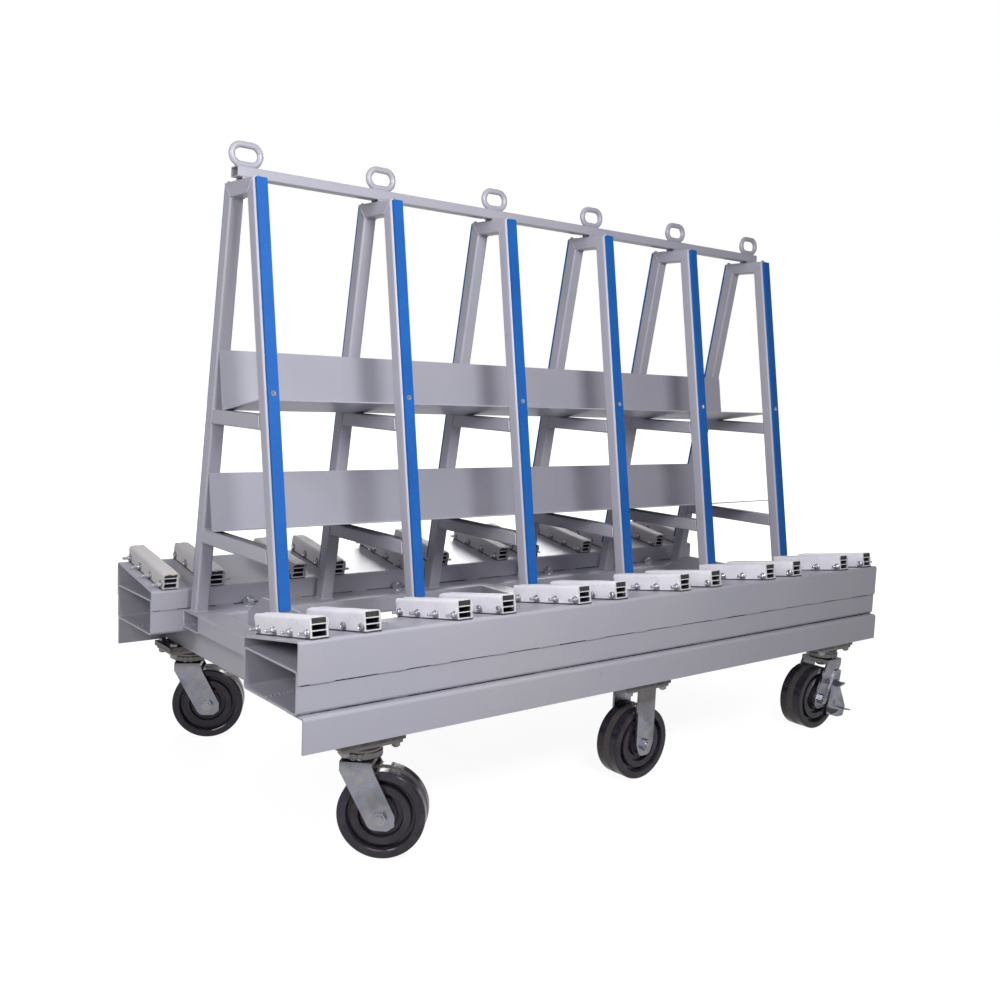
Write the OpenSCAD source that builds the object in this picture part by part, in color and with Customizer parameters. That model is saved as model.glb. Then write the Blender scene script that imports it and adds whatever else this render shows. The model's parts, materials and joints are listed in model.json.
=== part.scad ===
// Sheet goods cart: six A-frames between two padded decks, on six casters.
// Millimetres, +Z up, +X along the cart, the floor under the middle at the origin.

// Name of the sub-part to draw, or all of them.

/* [A-frames] */
// Number of A-frames along the cart.
frame_count = 6; // [4:1:6]
// Distance from an end of the decks to the outermost A-frame.
frame_inset = 118.45; // [110:0.05:130]
// Side of the square tube that the A-frames are made of.
tube = 38.1; // [32:0.1:40]
// Wall of the square tube.
tube_wall = 3.2; // [2:0.1:4]
// Outside corner radius of the square tube.
tube_corner = 6; // [4.5:0.5:8]
// Height of the A-frames' top face above the floor.
apex_z = 1543; // [1480:1:1600]
// Half the width across the outside of an A-frame at its top.
apex_half = 78; // [70:1:82]
// Lean of each leg from the vertical, in degrees.
lean = 9.27; // [8.6:0.01:9.4]
// Height of the upper crossbar's top face.
upper_bar_z = 979; // [900:1:1050]
// Height of the lower crossbar's top face.
lower_bar_z = 659; // [600:1:720]

/* [Top rail] */
// Distance that the rail runs past the outermost A-frames.
rail_over = 29.75; // [24:0.25:60]
// Width of the rail.
rail_w = 38.1; // [30:0.1:44]
// Height of the rail's section.
rail_h = 25.4; // [20:0.1:30]
// Wall of the rail.
rail_wall = 2.5; // [1.5:0.1:3.5]
// Height of the weld pads that carry the rail on the A-frames.
spacer_h = 3.3; // [2:0.1:6]
// Length of a weld pad along the rail.
spacer_length = 30; // [20:1:36]
// Width of a weld pad.
spacer_w = 7; // [4:0.5:10]
// Outside length of a lifting eye along the rail.
eye_length = 91; // [80:1:110]
// Height of a lifting eye above the rail.
eye_height = 62; // [54:1:80]
// Diameter of the round bar that the lifting eyes are bent from.
eye_bar = 15.9; // [10:0.1:18]
// Depth of the flat ground under each lifting eye for its weld.
eye_flat = 1; // [0.5:0.1:1.5]

/* [Trays] */
// Distance that the two sheet steel trays run past the outermost A-frames.
tray_over = 14.75; // [10:0.25:26]
// Thickness of the trays' sheet.
tray_sheet = 3; // [2:0.1:4]
// Height of the upper tray's back along its slope.
upper_back = 155; // [120:1:170]
// Height of the lower tray's back along its slope.
lower_back = 155; // [120:1:200]
// Outside radius of the trays' bend.
tray_bend = 6; // [5:0.5:9]
// Gap between a tray's free edge and the legs.
tray_gap = 0.2; // [0.1:0.05:0.5]

/* [Leg strips] */
// Width of a rubbing strip.
strip_w = 29; // [20:1:34]
// Thickness of a rubbing strip.
strip_t = 8; // [5:0.5:12]
// Height of the strips' top end.
strip_top_z = 1539.6; // [1500:0.1:1541]
// Height of the strips' bottom end.
strip_bottom_z = 520; // [490:1:600]
// Height of the screw hole half way down a strip.
strip_screw_z = 1030; // [800:1:1200]
// Diameter of the screw hole in a strip.
strip_hole = 7; // [5:0.5:9]
// Diameter of the countersink in a strip's face.
strip_sink = 15; // [12:0.5:18]
// Corner radius of a strip's ends.
strip_corner = 3; // [1:0.5:6]

/* [Decks] */
// Length of the decks along the cart.
deck_length = 2169.4; // [2140:0.1:2200]
// Distance from the cart's middle to a deck tube's inner wall.
deck_inner = 283; // [283:0.5:290]
// Width of a deck tube.
deck_w = 250; // [240:1:256]
// Height of a deck tube.
deck_h = 98; // [94:1:102]
// Wall of a deck tube.
deck_wall = 5; // [3:0.1:7]
// Outside corner radius of a deck tube.
deck_corner = 10; // [8:0.5:14]
// Height of a deck tube's underside.
deck_z = 361; // [358:0.5:362]
// Thickness of the bent plate that caps a deck.
cap_t = 4; // [3:0.1:5]
// Outside radius of the cap's two bends.
cap_bend = 8; // [6:0.5:12]
// Height of the cap's outer top edge.
cap_outer_z = 524; // [515:1:535]
// Height of the lower edges of the cap's flanges.
cap_bottom_z = 429; // [428:0.5:440]
// Distance from an end of the decks to the end of a side angle.
angle_inset = 7.7; // [4:0.1:30]
// Distance from the cart's middle to a side angle's outer face.
angle_outer = 552; // [548:0.5:560]
// Thickness of a side angle.
angle_t = 6; // [4:0.5:8]
// Height of a side angle's upright flange.
angle_h = 80; // [74:1:84]
// Width of a side angle's level flange.
angle_w = 76; // [60:1:90]
// Outside radius of a side angle's heel.
angle_heel = 9; // [8:0.5:14]

/* [Chassis] */
// Distance that the two inner longitudinal tubes run past the outermost A-frames.
long_over = 27.25; // [24:0.25:48]
// Width of a longitudinal tube.
long_w = 101.6; // [96:0.1:104]
// Height of a longitudinal tube.
long_h = 50.8; // [46:0.1:52]
// Height of the longitudinal tubes' underside.
long_z = 375.5; // [372:0.1:376]
// Wall of the chassis tubes.
chassis_wall = 4.8; // [3:0.1:6]
// Outside corner radius of the chassis tubes.
chassis_corner = 8; // [7:0.5:12]
// Width of the three cross tubes between the longitudinals.
cross_w = 76.2; // [60:0.1:90]
// Distance from a longitudinal tube's end to the middle of an outer crossmember.
member_inset = 103.5; // [94:0.5:120]
// Width of a lower crossmember.
member_w = 101.6; // [90:0.1:104]
// Distance from a longitudinal tube's end to a bulkhead plate.
bulkhead_inset = 146.5; // [144:0.5:147]
// Thickness of a bulkhead plate.
bulkhead_t = 8; // [4:0.5:10]
// Height of a bulkhead plate's top edge.
bulkhead_z = 478; // [460:1:500]
// Half the width of a bulkhead plate's top edge.
bulkhead_half = 100; // [60:1:140]
// Distance from the cart's middle to the bolts in the longitudinals.
bolt_y = 252; // [244:0.5:254]
// Distance from a bulkhead plate to the outer frame bolts.
bolt_inset = 32; // [28:0.5:60]
// Position of the inner frame bolts, as a share of the distance between A-frames.
bolt_share = 0.815; // [0.7:0.005:0.9]
// Size across the flats of a frame bolt.
bolt_af = 30; // [24:1:32]
// Diameter of a frame bolt's washer.
washer_d = 37; // [34:1:38]
// Thickness of a frame bolt's washer.
washer_t = 3; // [2:0.5:4]

/* [Pad bars] */
// Distance along the cart from an A-frame to each pad bar beside it.
pad_offset = 66.4; // [55:0.1:75]
// Width of a pad bar over its cover.
pad_w = 45.3; // [42:0.1:50]
// Height of a pad bar over its cover, with its base plate.
pad_h = 48; // [45:0.5:52]
// Length of a pad bar across the deck.
pad_length = 254; // [240:1:256]
// Thickness of a pad bar's cover.
cover_t = 2.5; // [1.5:0.1:3]
// Thickness of the plate under a pad bar.
pad_plate_t = 3; // [2:0.5:4]
// Wall and shelf thickness of a pad bar's extrusion.
core_t = 2.6; // [2:0.1:3]
// Depth of the rubber strip in a pad bar.
rubber_h = 12; // [8:0.5:14]
// Outside radius of a pad bar's cover.
cover_corner = 7; // [5:0.5:9]
// Gap left round the rubber and under the cover's corners.
pad_gap = 0.1; // [0.05:0.05:0.3]

/* [Casters] */
// Diameter of a wheel.
wheel_d = 203.2; // [190:0.1:204]
// Width of a wheel.
wheel_w = 76.2; // [63:0.1:77]
// Distance from the cart's middle line to the casters.
caster_y = 480; // [478:1:487]
// Distance from a swivel axis to the wheel's axle.
lead = 56.5; // [50:0.5:62]
// Length of a caster's top plate.
plate_l = 159; // [155:1:166]
// Width of a caster's top plate.
plate_w = 114; // [110:1:117]
// Thickness of a caster's top plate.
plate_t = 8; // [6:0.5:9]
// Height of a top plate's upper face.
plate_z = 267.5; // [266:0.5:270]
// Length of the mounting pad between a crossmember and a caster.
mount_l = 170; // [168:1:176]
// Width of a mounting pad.
mount_w = 118; // [118:1:118]
// Distance between a top plate's bolts, along and across.
plate_bolts = [133.4, 85.8]; // [80:0.1:136]
// Diameter of a caster's mounting bolts.
mount_bolt_d = 12.7; // [10:0.1:13]
// Clearance round a mounting bolt in its holes, on the radius.
bolt_clearance = 0.4; // [0.3:0.05:0.8]
// Diameter of an axle.
axle_d = 19; // [16:0.1:20]
// Size across the flats of an axle's head and nut.
axle_af = 28.6; // [25:0.1:30]
// Outside diameter of a wheel's bush.
bush_d = 31; // [28:0.1:34]
// Running clearance of the axles and kingpins, on the radius.
run_clearance = 0.05; // [0.03:0.01:0.08]
// Clearance between parts that turn against each other's faces.
face_clearance = 0.3; // [0.2:0.05:0.5]
// Distance from a wheel's middle plane to a fork leg's outer face.
fork_half = 50; // [49:0.5:51]
// Thickness of a fork leg.
fork_t = 7; // [6:0.5:8]
// Radius of the swivel raceway.
race_r = 49.7; // [44:0.1:50]
// Diameter of a swivel's kingpin.
kingpin_d = 22; // [16:0.5:24]
// Direction that each swivel caster trails, in degrees from +X: front
// left, rear left, front right and rear right.
swivel_angles = [-42.5, -30, 179, 135.7]; // [-180:0.1:180]

/* [Brakes] */
// Thickness of the brake bracket on a fork leg.
bracket_t = 5; // [4:0.5:6]
// Thickness of the folded brake pedal.
pedal_t = 4; // [3:0.5:5]
// Diameter of the pin that a brake pedal turns on.
pivot_d = 10; // [8:0.5:12]
// Diameter of the bar that a pedal presses on the tread.
shoe_d = 12; // [10:0.5:14]
// Distance between the released bar and the tread.
shoe_gap = 4.8; // [4:0.1:6]

/* [Hidden] */
$fn = 64;
frame_end = deck_length / 2 - frame_inset;
frame_pitch = 2 * frame_end / (frame_count - 1);
frame_xs = [for (i = [0:frame_count - 1]) (i - (frame_count - 1) / 2) * frame_pitch];
rail_length = 2 * (frame_end + rail_over);
tray_length = 2 * (frame_end + tray_over);
long_length = 2 * (frame_end + long_over);
angle_length = deck_length - 2 * angle_inset;
end_x = long_length / 2 - member_inset;
bulkhead_x = long_length / 2 - bulkhead_inset;
bolt_x = [bulkhead_x - bolt_inset, bolt_share * frame_pitch];
run = tan(lean);
tube_across = tube / cos(lean);
bar_under = apex_z - tube;
mitre_half = apex_half + run * tube - tube_across;
long_top = long_z + long_h;
rail_z = apex_z + spacer_h;
rail_top = rail_z + rail_h;
cap_w = deck_w + 2 * cap_t;
cap_inner = deck_inner - cap_t;
cap_inner_z = cap_outer_z - run * cap_w;
angle_z = deck_z - angle_h;
angle_inner = angle_outer - angle_t;
member_top = deck_z - angle_t;
member_h = member_top - angle_z;
heel_inside = angle_heel - angle_t;
member_half = angle_inner - heel_inside;
long_inner = deck_inner - long_w;
cross_x = (long_length - cross_w) / 2;
mount_t = angle_z - plate_z;
wheel_r = wheel_d / 2;
plate_under = plate_z - plate_t;
race_gap_z = 246;
crown_z = 211;
crown_top = 226;
fork_inner = fork_half - fork_t;
hub_half = fork_inner - face_clearance;
pin_z = 200;
axle_head = 11;
// Outlines of a caster seen from its side: distance along the trail, height
// and corner radius, with 0 for a sharp corner.
fork_back = 38;
fork_front = 36;
fork_shoulder = 6;
fork_lower = [[34, 71, 24], [74, 71, 8], [90, 83, 0], [90, 107, 0]];
rigid_half = 33;
rigid_lower = [[-33, 106, 20], [-20, 71, 18], [20, 71, 18], [33, 106, 20]];
// Swivel casters: position, direction and whether the caster has a brake.
swivels = [
  [-end_x, -caster_y, swivel_angles[0]],
  [-end_x, caster_y, swivel_angles[1]],
  [end_x, -caster_y, swivel_angles[2]],
  [end_x, caster_y, swivel_angles[3]]
];
caster_xs = [-end_x, 0, end_x];
// Brake pivot and pressing bar, measured from the swivel axis along the trail.
pivot_u = -6;
pivot_v = 84;
shoe_angle = 212;
shoe_reach = wheel_r + shoe_gap + shoe_d / 2;
shoe_u = lead + shoe_reach * cos(shoe_angle);
shoe_v = wheel_r + shoe_reach * sin(shoe_angle);
bracket_outline = [[-36, 190, 8], [-20, 70, 12], [10, 70, 12], [34, 100, 12], [-8, 190, 8]];
pedal_upper = [[34, 66, 7], [14, 152, 3], [-18, 158, 3], [-66, 62, 7]];
pedal_heel = [34, 50, 7];
pedal_treads = [[[-58, 54], [-32, 60]], [[8, 61], [28, 55]], [[-16, 149], [12, 143.5]]];
tread_reach = 28;
tread_flare = 6;

paint = [0.66, 0.67, 0.72];
zinc = [0.6, 0.6, 0.62];
blue = [0.14, 0.45, 0.8];
dark = [0.15, 0.14, 0.16];
canvas = [0.87, 0.86, 0.89];
rubber = [0.2, 0.2, 0.21];

// Height of a leg's outer face line at height z.
function leg_out(z) = apex_half + run * (apex_z - z);
function leg_in(z) = leg_out(z) - tube_across;

// Filled rectangle with round corners.
module round_rect(w, h, r) {
  square([w - 2 * r, h], center = true);
  square([w, h - 2 * r], center = true);
  for (x = [-1, 1], y = [-1, 1])
    translate([x * (w / 2 - r), y * (h / 2 - r)])
      circle(r);
}

// Section of a rectangular tube.
module tube_section(w, h, wall, r) {
  difference() {
    round_rect(w, h, r);
    round_rect(w - 2 * wall, h - 2 * wall, max(r - wall, 0.5));
  }
}

// Turns a drawing in Y and Z into a solid along X, centred.
module along_x(length) {
  rotate([90, 0, 90])
    linear_extrude(length, center = true)
      children();
}

// Tube along X with its middle at a height and a distance across.
module tube_x(length, y, z, w, h, wall, r) {
  translate([0, y, z])
    along_x(length)
      tube_section(w, h, wall, r);
}

// Tube along Y with its middle at x and a height.
module tube_y(length, x, z, w, h, wall, r) {
  translate([x, 0, z])
    rotate([90, 0, 0])
      linear_extrude(length, center = true)
        tube_section(w, h, wall, r);
}

// Mirrors the children to the front when side is -1.
module on_side(side) {
  mirror([0, side < 0 ? 1 : 0, 0])
    children();
}

module hexagon(af, h) {
  cylinder(h, d = af / cos(30), $fn = 6);
}

// A-frames

// Region between an A-frame's outer faces and below its mitre, on one side.
module leg_region() {
  along_x(2 * tube)
    polygon([
      [apex_half, apex_z], [mitre_half, bar_under],
      [leg_in(long_top) - tube, long_top], [leg_out(long_top) + tube, long_top]
    ]);
}

module leg(side) {
  reach = (apex_z - long_top) / cos(lean) + tube;
  on_side(side)
    intersection() {
      translate([0, apex_half, apex_z])
        rotate([lean, 0, 0])
          translate([0, -tube / 2, -reach])
            linear_extrude(reach + tube)
              tube_section(tube, tube, tube_wall, tube_corner);
      leg_region();
    }
}

module legs(side) {
  color(paint)
    for (x = frame_xs)
      translate([x, 0, 0])
        leg(side);
}

module front_legs() {
  legs(-1);
}

module rear_legs() {
  legs(1);
}

module top_tubes() {
  color(paint)
    for (x = frame_xs)
      translate([x, 0, 0])
        intersection() {
          tube_y(2 * apex_half, 0, apex_z - tube / 2, tube, tube, tube_wall, tube_corner);
          along_x(2 * tube)
            polygon([
              [-apex_half, apex_z], [apex_half, apex_z],
              [mitre_half, bar_under], [-mitre_half, bar_under]
            ]);
        }
}

// Crossbars between the legs' inner faces, with their top at a height.
module crossbars(top) {
  low = top - tube;
  color(paint)
    for (x = frame_xs)
      translate([x, 0, 0])
        intersection() {
          tube_y(2 * leg_in(low), 0, top - tube / 2, tube, tube, tube_wall, tube_corner);
          along_x(2 * tube)
            polygon([
              [-leg_in(top), top], [leg_in(top), top],
              [leg_in(low), low], [-leg_in(low), low]
            ]);
        }
}

module upper_crossbars() {
  crossbars(upper_bar_z);
}

module lower_crossbars() {
  crossbars(lower_bar_z);
}

// Top rail

module top_rail() {
  color(paint)
    tube_x(rail_length, 0, rail_z + rail_h / 2, rail_w, rail_h, rail_wall, 3.5);
}

module rail_spacers() {
  inset = rail_w / 2 - spacer_w / 2 - 3.5;
  color(paint)
    for (x = frame_xs, side = [-1, 1])
      translate([x - spacer_length / 2, side * inset - spacer_w / 2, apex_z])
        cube([spacer_length, spacer_w, spacer_h]);
}

// Oblong loop of round bar, standing on its weld flat.
module eye() {
  bend = (eye_height + eye_flat - eye_bar) / 2;
  straight = eye_length - 2 * bend - eye_bar;
  difference() {
    translate([0, 0, eye_height - eye_bar / 2 - bend])
      rotate([90, 0, 0]) {
        for (end = [0, 1])
          mirror([end, 0, 0])
            translate([straight / 2, 0, 0])
              rotate([0, 0, -90])
                rotate_extrude(angle = 180)
                  translate([bend, 0])
                    circle(d = eye_bar);
        for (side = [-1, 1])
          translate([-straight / 2, side * bend, 0])
            rotate([0, 90, 0])
              cylinder(straight, d = eye_bar);
      }
    translate([-eye_length, -eye_bar, -2 * eye_flat])
      cube([2 * eye_length, 2 * eye_bar, 2 * eye_flat]);
  }
}

module lifting_eyes() {
  color(paint)
    for (x = frame_xs)
      translate([x, 0, rail_top])
        eye();
}

// Trays

// Right-angled trough on a crossbar, square to the front legs.
module tray(back, bar_top) {
  bend_z = bar_top + tray_bend * (1 - sin(lean) - cos(lean));
  bend_y = leg_in(bend_z) - 2 * back * sin(lean);
  base = (bend_y + leg_in(bend_z)) * cos(lean) - tray_gap;
  room = 2 * base;
  color(paint)
    translate([0, bend_y, bend_z])
      rotate([-lean, 0, 0])
        along_x(tray_length)
          difference() {
            trough_block(0, base, back, tray_bend);
            trough_block(tray_sheet, room, room, tray_bend - tray_sheet);
          }
}

// Block up and to the left of a round corner, moved in from it.
module trough_block(inset, w, h, r) {
  translate([-w - (inset > 0 ? inset : 0), inset + r])
    square([w, h - r]);
  translate([-w - (inset > 0 ? inset : 0), inset])
    square([w - r, h]);
  translate([-inset - r, inset + r])
    circle(r);
}

module upper_tray() {
  tray(upper_back, upper_bar_z);
}

module lower_tray() {
  tray(lower_back, lower_bar_z);
}

// Leg strips

module leg_strips(side) {
  top = (apex_z - strip_top_z) / cos(lean);
  bottom = (apex_z - strip_bottom_z) / cos(lean);
  screw = (apex_z - strip_screw_z) / cos(lean);
  color(blue)
    for (x = frame_xs)
      translate([x, 0, 0])
        on_side(side)
          translate([0, apex_half, apex_z])
            rotate([lean, 0, 0])
              difference() {
                translate([0, strip_t, -(top + bottom) / 2])
                  rotate([90, 0, 0])
                    linear_extrude(strip_t)
                      round_rect(strip_w, bottom - top, strip_corner);
                translate([0, strip_t + 1, -screw])
                  rotate([90, 0, 0])
                    cylinder(strip_t + 2, d = strip_hole);
                translate([0, strip_t, -screw])
                  rotate([90, 0, 0])
                    cylinder((strip_sink - strip_hole) / 2, d1 = strip_sink, d2 = strip_hole);
              }
}

module front_leg_strips() {
  leg_strips(-1);
}

module rear_leg_strips() {
  leg_strips(1);
}

// Decks

module deck_tube(side) {
  color(paint)
    tube_x(deck_length, side * (deck_inner + deck_w / 2), deck_z + deck_h / 2,
           deck_w, deck_h, deck_wall, deck_corner);
}

module front_deck_tube() {
  deck_tube(-1);
}

module rear_deck_tube() {
  deck_tube(1);
}

// Filled outline of a cap: upright sides and a sloped top with round corners.
module cap_block(w, low, high, r) {
  rise = high - low;
  slope = atan(rise / w);
  inner_cut = r * tan((90 - slope) / 2);
  outer_cut = r * tan((90 + slope) / 2);
  polygon([
    [0, 0], [w, 0], [w, high - outer_cut],
    [w - outer_cut * cos(slope), high - outer_cut * sin(slope)],
    [inner_cut * cos(slope), low + inner_cut * sin(slope)],
    [0, low - inner_cut]
  ]);
  translate([w - r, high - outer_cut])
    circle(r);
  translate([r, low - inner_cut])
    circle(r);
}

module deck_cap(side) {
  low = cap_inner_z - cap_bottom_z;
  high = cap_outer_z - cap_bottom_z;
  drop_low = cap_t / cos(lean) - cap_t * run;
  drop_high = cap_t / cos(lean) + cap_t * run;
  color(paint)
    on_side(side)
      translate([0, cap_inner, cap_bottom_z])
        along_x(deck_length)
          difference() {
            cap_block(cap_w, low, high, cap_bend);
            translate([cap_t, 0])
              cap_block(deck_w, low - drop_low, high - drop_high, cap_bend - cap_t);
          }
}

module front_deck_cap() {
  deck_cap(-1);
}

module rear_deck_cap() {
  deck_cap(1);
}

module side_angle(side) {
  color(paint)
    on_side(side)
      along_x(angle_length)
        difference() {
          angle_block(angle_outer, deck_z, angle_w, angle_h, angle_heel);
          angle_block(angle_inner, member_top, 2 * angle_w, 2 * angle_h, heel_inside);
        }
}

// Block down and to the left of a round corner.
module angle_block(y, z, w, h, r) {
  translate([y - w, z - h])
    square([w - r, h]);
  translate([y - w, z - h])
    square([w, h - r]);
  translate([y - r, z - r])
    circle(r);
}

module front_side_angle() {
  side_angle(-1);
}

module rear_side_angle() {
  side_angle(1);
}

// Chassis

module longitudinal(side) {
  color(paint)
    tube_x(long_length, side * (deck_inner - long_w / 2), long_z + long_h / 2,
           long_w, long_h, chassis_wall, chassis_corner);
}

module front_longitudinal() {
  longitudinal(-1);
}

module rear_longitudinal() {
  longitudinal(1);
}

module cross_tube(x) {
  color(paint)
    tube_y(2 * long_inner, x, long_z + long_h / 2, cross_w, long_h, chassis_wall, chassis_corner);
}

module end_cross_tubes() {
  for (side = [-1, 1])
    cross_tube(side * cross_x);
}

module mid_cross_tube() {
  cross_tube(0);
}

module lower_crossmembers() {
  color(paint)
    for (x = caster_xs)
      tube_y(2 * member_half, x, angle_z + member_h / 2, member_w, member_h,
             chassis_wall, chassis_corner);
}

module packing_plates() {
  color(paint)
    for (x = caster_xs, side = [-1, 1])
      translate([x - member_w / 2 + chassis_corner, 0, member_top])
        on_side(side)
          translate([0, long_inner + chassis_corner, 0])
            cube([member_w - 2 * chassis_corner, long_w - 2 * chassis_corner, long_z - member_top]);
}

module bulkhead_plates() {
  shoulder = long_top - 2;
  color(paint)
    for (side = [-1, 1])
      translate([side * bulkhead_x, 0, 0])
        along_x(bulkhead_t)
          polygon([
            [-long_inner, member_top], [long_inner, member_top],
            [long_inner, shoulder], [bulkhead_half, bulkhead_z],
            [-bulkhead_half, bulkhead_z], [-long_inner, shoulder]
          ]);
}

module frame_bolts() {
  color(zinc)
    for (x = bolt_x, end = [-1, 1], side = [-1, 1])
      translate([end * x, side * bolt_y, long_top]) {
        cylinder(washer_t, d = washer_d);
        hexagon(bolt_af, washer_t + 16);
        cylinder(washer_t + 22, d = 20);
      }
}

// Pad bars

// Places the children on a deck's sloped top, at the foot of each pad bar.
module at_pads() {
  foot = cap_inner_z + run * (cap_w / 2);
  for (side = [-1, 1], x = frame_xs, beside = [-1, 1])
    on_side(side)
      translate([x + beside * pad_offset, cap_inner + cap_w / 2, foot])
        rotate([lean, 0, 0])
          rotate([90, 0, 0])
            linear_extrude(pad_length, center = true)
              children();
}

module pad_plates() {
  color(dark)
    at_pads()
      translate([-pad_w / 2, 0])
        square([pad_w, pad_plate_t]);
}

// Upright outline with a flat foot and round upper corners.
module arch(w, h, r) {
  translate([-w / 2, 0])
    square([w, h - r]);
  translate([-w / 2 + r, 0])
    square([w - 2 * r, h]);
  for (side = [-1, 1])
    translate([side * (w / 2 - r), h - r])
      circle(r);
}

module pad_cores() {
  w = pad_w - 2 * cover_t;
  h = pad_h - cover_t - pad_plate_t;
  inner = w - 2 * core_t;
  cell = (h - rubber_h - 3 * core_t) / 2;
  color(zinc)
    at_pads()
      translate([0, pad_plate_t])
        difference() {
          arch(w, h, cover_corner - cover_t + pad_gap);
          for (level = [0, 1])
            translate([-inner / 2, core_t + level * (cell + core_t)])
              square([inner, cell]);
          translate([-inner / 2, h - rubber_h])
            square([inner, 2 * rubber_h]);
        }
}

module pad_rubbers() {
  w = pad_w - 2 * cover_t - 2 * core_t - 2 * pad_gap;
  color(rubber)
    at_pads()
      translate([0, pad_h - cover_t - rubber_h])
        arch(w, rubber_h, cover_corner - cover_t - core_t);
}

module pad_covers() {
  color(canvas)
    at_pads()
      translate([0, pad_plate_t])
        difference() {
          arch(pad_w, pad_h - pad_plate_t, cover_corner);
          arch(pad_w - 2 * cover_t, pad_h - pad_plate_t - cover_t, cover_corner - cover_t);
        }
}

// Casters

// Positions of the four bolts of a top plate.
module at_plate_bolts() {
  for (x = [-1, 1], y = [-1, 1])
    translate([x * plate_bolts[0] / 2, y * plate_bolts[1] / 2, 0])
      children();
}

// Plate with round corners and the four bolt holes.
module drilled_plate(l, w, t, r) {
  difference() {
    linear_extrude(t)
      round_rect(l, w, r);
    at_plate_bolts()
      translate([0, 0, -1])
        cylinder(t + 2, d = mount_bolt_d + 2 * bolt_clearance);
  }
}

module at_casters() {
  for (x = caster_xs, side = [-1, 1])
    translate([x, side * caster_y, 0])
      children();
}

module caster_pads() {
  color(paint)
    at_casters()
      translate([0, 0, plate_z])
        drilled_plate(mount_l, mount_w, mount_t, 4);
}

module caster_bolts() {
  color(zinc)
    at_casters()
      at_plate_bolts() {
        translate([0, 0, plate_under - 13])
          cylinder(mount_t + plate_t + 14, d = mount_bolt_d);
        translate([0, 0, angle_z])
          hexagon(19, 8);
        translate([0, 0, plate_under - 10])
          hexagon(19, 10);
      }
}

// Top plate with the upper half of the raceway, the kingpin and its nut.
module swivel_top_plates() {
  color(zinc)
    for (s = swivels)
      translate([s[0], s[1], 0]) {
        translate([0, 0, plate_under])
          drilled_plate(plate_l, plate_w, plate_t, 6);
        rotate_extrude()
          polygon([
            [0, pin_z], [14, pin_z], [16, pin_z + 2],
            [16, crown_z - face_clearance], [kingpin_d / 2, crown_z - face_clearance],
            [kingpin_d / 2, race_gap_z + 2], [race_r - 8, race_gap_z + 2],
            [race_r - 8, race_gap_z + face_clearance], [race_r - 2, race_gap_z + face_clearance],
            [race_r - 2, race_gap_z + 5], [race_r - 8, plate_under + 1],
            [0, plate_under + 1]
          ]);
      }
}

// Turns a drawing of trail and height into an upright plate at a distance.
module beside_wheel(from, t) {
  translate([0, from + t, 0])
    rotate([90, 0, 0])
      linear_extrude(t)
        children();
}

// Convex outline: each point is [u, v, radius], with 0 for a sharp corner.
module round_outline(points) {
  n = len(points);
  cuts = [for (i = [0:n - 1]) corner_cut(points[(i + n - 1) % n], points[i], points[(i + 1) % n])];
  polygon([for (i = [0:n - 1], k = points[i][2] > 0 ? [0, 1] : [0]) cuts[i][k]]);
  for (i = [0:n - 1])
    if (points[i][2] > 0)
      translate(cuts[i][2])
        circle(points[i][2]);
}

function flat(p) = [p[0], p[1]];
function unit(a) = a / norm(a);

// Ends and middle of the arc that rounds the corner p between points a and b.
function corner_cut(a, p, b) =
  let (
    to_a = unit(flat(a) - flat(p)),
    to_b = unit(flat(b) - flat(p)),
    half = acos(to_a * to_b) / 2,
    back = p[2] / tan(half)
  )
  [flat(p) + back * to_a, flat(p) + back * to_b,
   flat(p) + p[2] / sin(half) * unit(to_a + to_b)];

// Outline of a trailing fork leg, seen from its side.
module trailing_leg() {
  round_outline(concat(
    [[-fork_back, crown_top, 0], [-fork_back, crown_z - fork_shoulder, 0]],
    fork_lower,
    [[fork_front, crown_z + 2, 0], [fork_front, crown_top, 0]]
  ));
}

// Fork that turns about the kingpin, pointing along +X.
module swivel_fork(s) {
  color(zinc)
    translate([s[0], s[1], 0])
      rotate([0, 0, s[2]])
        difference() {
          union() {
            for (side = [-1, 1])
              on_side(side)
                beside_wheel(fork_inner, fork_t)
                  trailing_leg();
            translate([0, 0, crown_z])
              linear_extrude(crown_top - crown_z)
                round_outline([
                  [-fork_back, -fork_half, 0], [fork_front, -fork_half, 0],
                  [fork_front, fork_half, 0], [-fork_back, fork_half, 0]
                ]);
            translate([0, 0, crown_top - 1])
              cylinder(7, r1 = race_r - 8, r2 = race_r);
            translate([0, 0, crown_top + 6])
              cylinder(race_gap_z - crown_top - 8, r = race_r);
            translate([0, 0, race_gap_z - 2])
              cylinder(2, r1 = race_r, r2 = race_r - 2);
          }
          translate([0, 0, crown_z - 1])
            cylinder(race_gap_z, r = kingpin_d / 2 + run_clearance);
          translate([lead, 0, wheel_r])
            rotate([90, 0, 0])
              cylinder(2 * fork_half + 2, r = axle_d / 2 + run_clearance, center = true);
        }
}

module front_left_fork() {
  swivel_fork(swivels[0]);
}

module rear_left_fork() {
  swivel_fork(swivels[1]);
}

module front_right_fork() {
  swivel_fork(swivels[2]);
}

module rear_right_fork() {
  swivel_fork(swivels[3]);
}

// Axle bolt with its head and nut against the fork legs.
module axle() {
  translate([0, 0, wheel_r])
    rotate([90, 0, 0]) {
      cylinder(2 * (fork_half + axle_head) + 6, d = axle_d, center = true);
      for (side = [-1, 1])
        translate([0, 0, side < 0 ? -fork_half - axle_head : fork_half])
          hexagon(axle_af, axle_head);
    }
}

// Carries a part made round a wheel's middle out to a swivel caster.
module on_swivel(s) {
  translate([s[0], s[1], 0])
    rotate([0, 0, s[2]])
      translate([lead, 0, 0])
        children();
}

module front_left_axle() {
  color(zinc)
    on_swivel(swivels[0])
      axle();
}

module rear_left_axle() {
  color(zinc)
    on_swivel(swivels[1])
      axle();
}

module front_right_axle() {
  color(zinc)
    on_swivel(swivels[2])
      axle();
}

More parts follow.
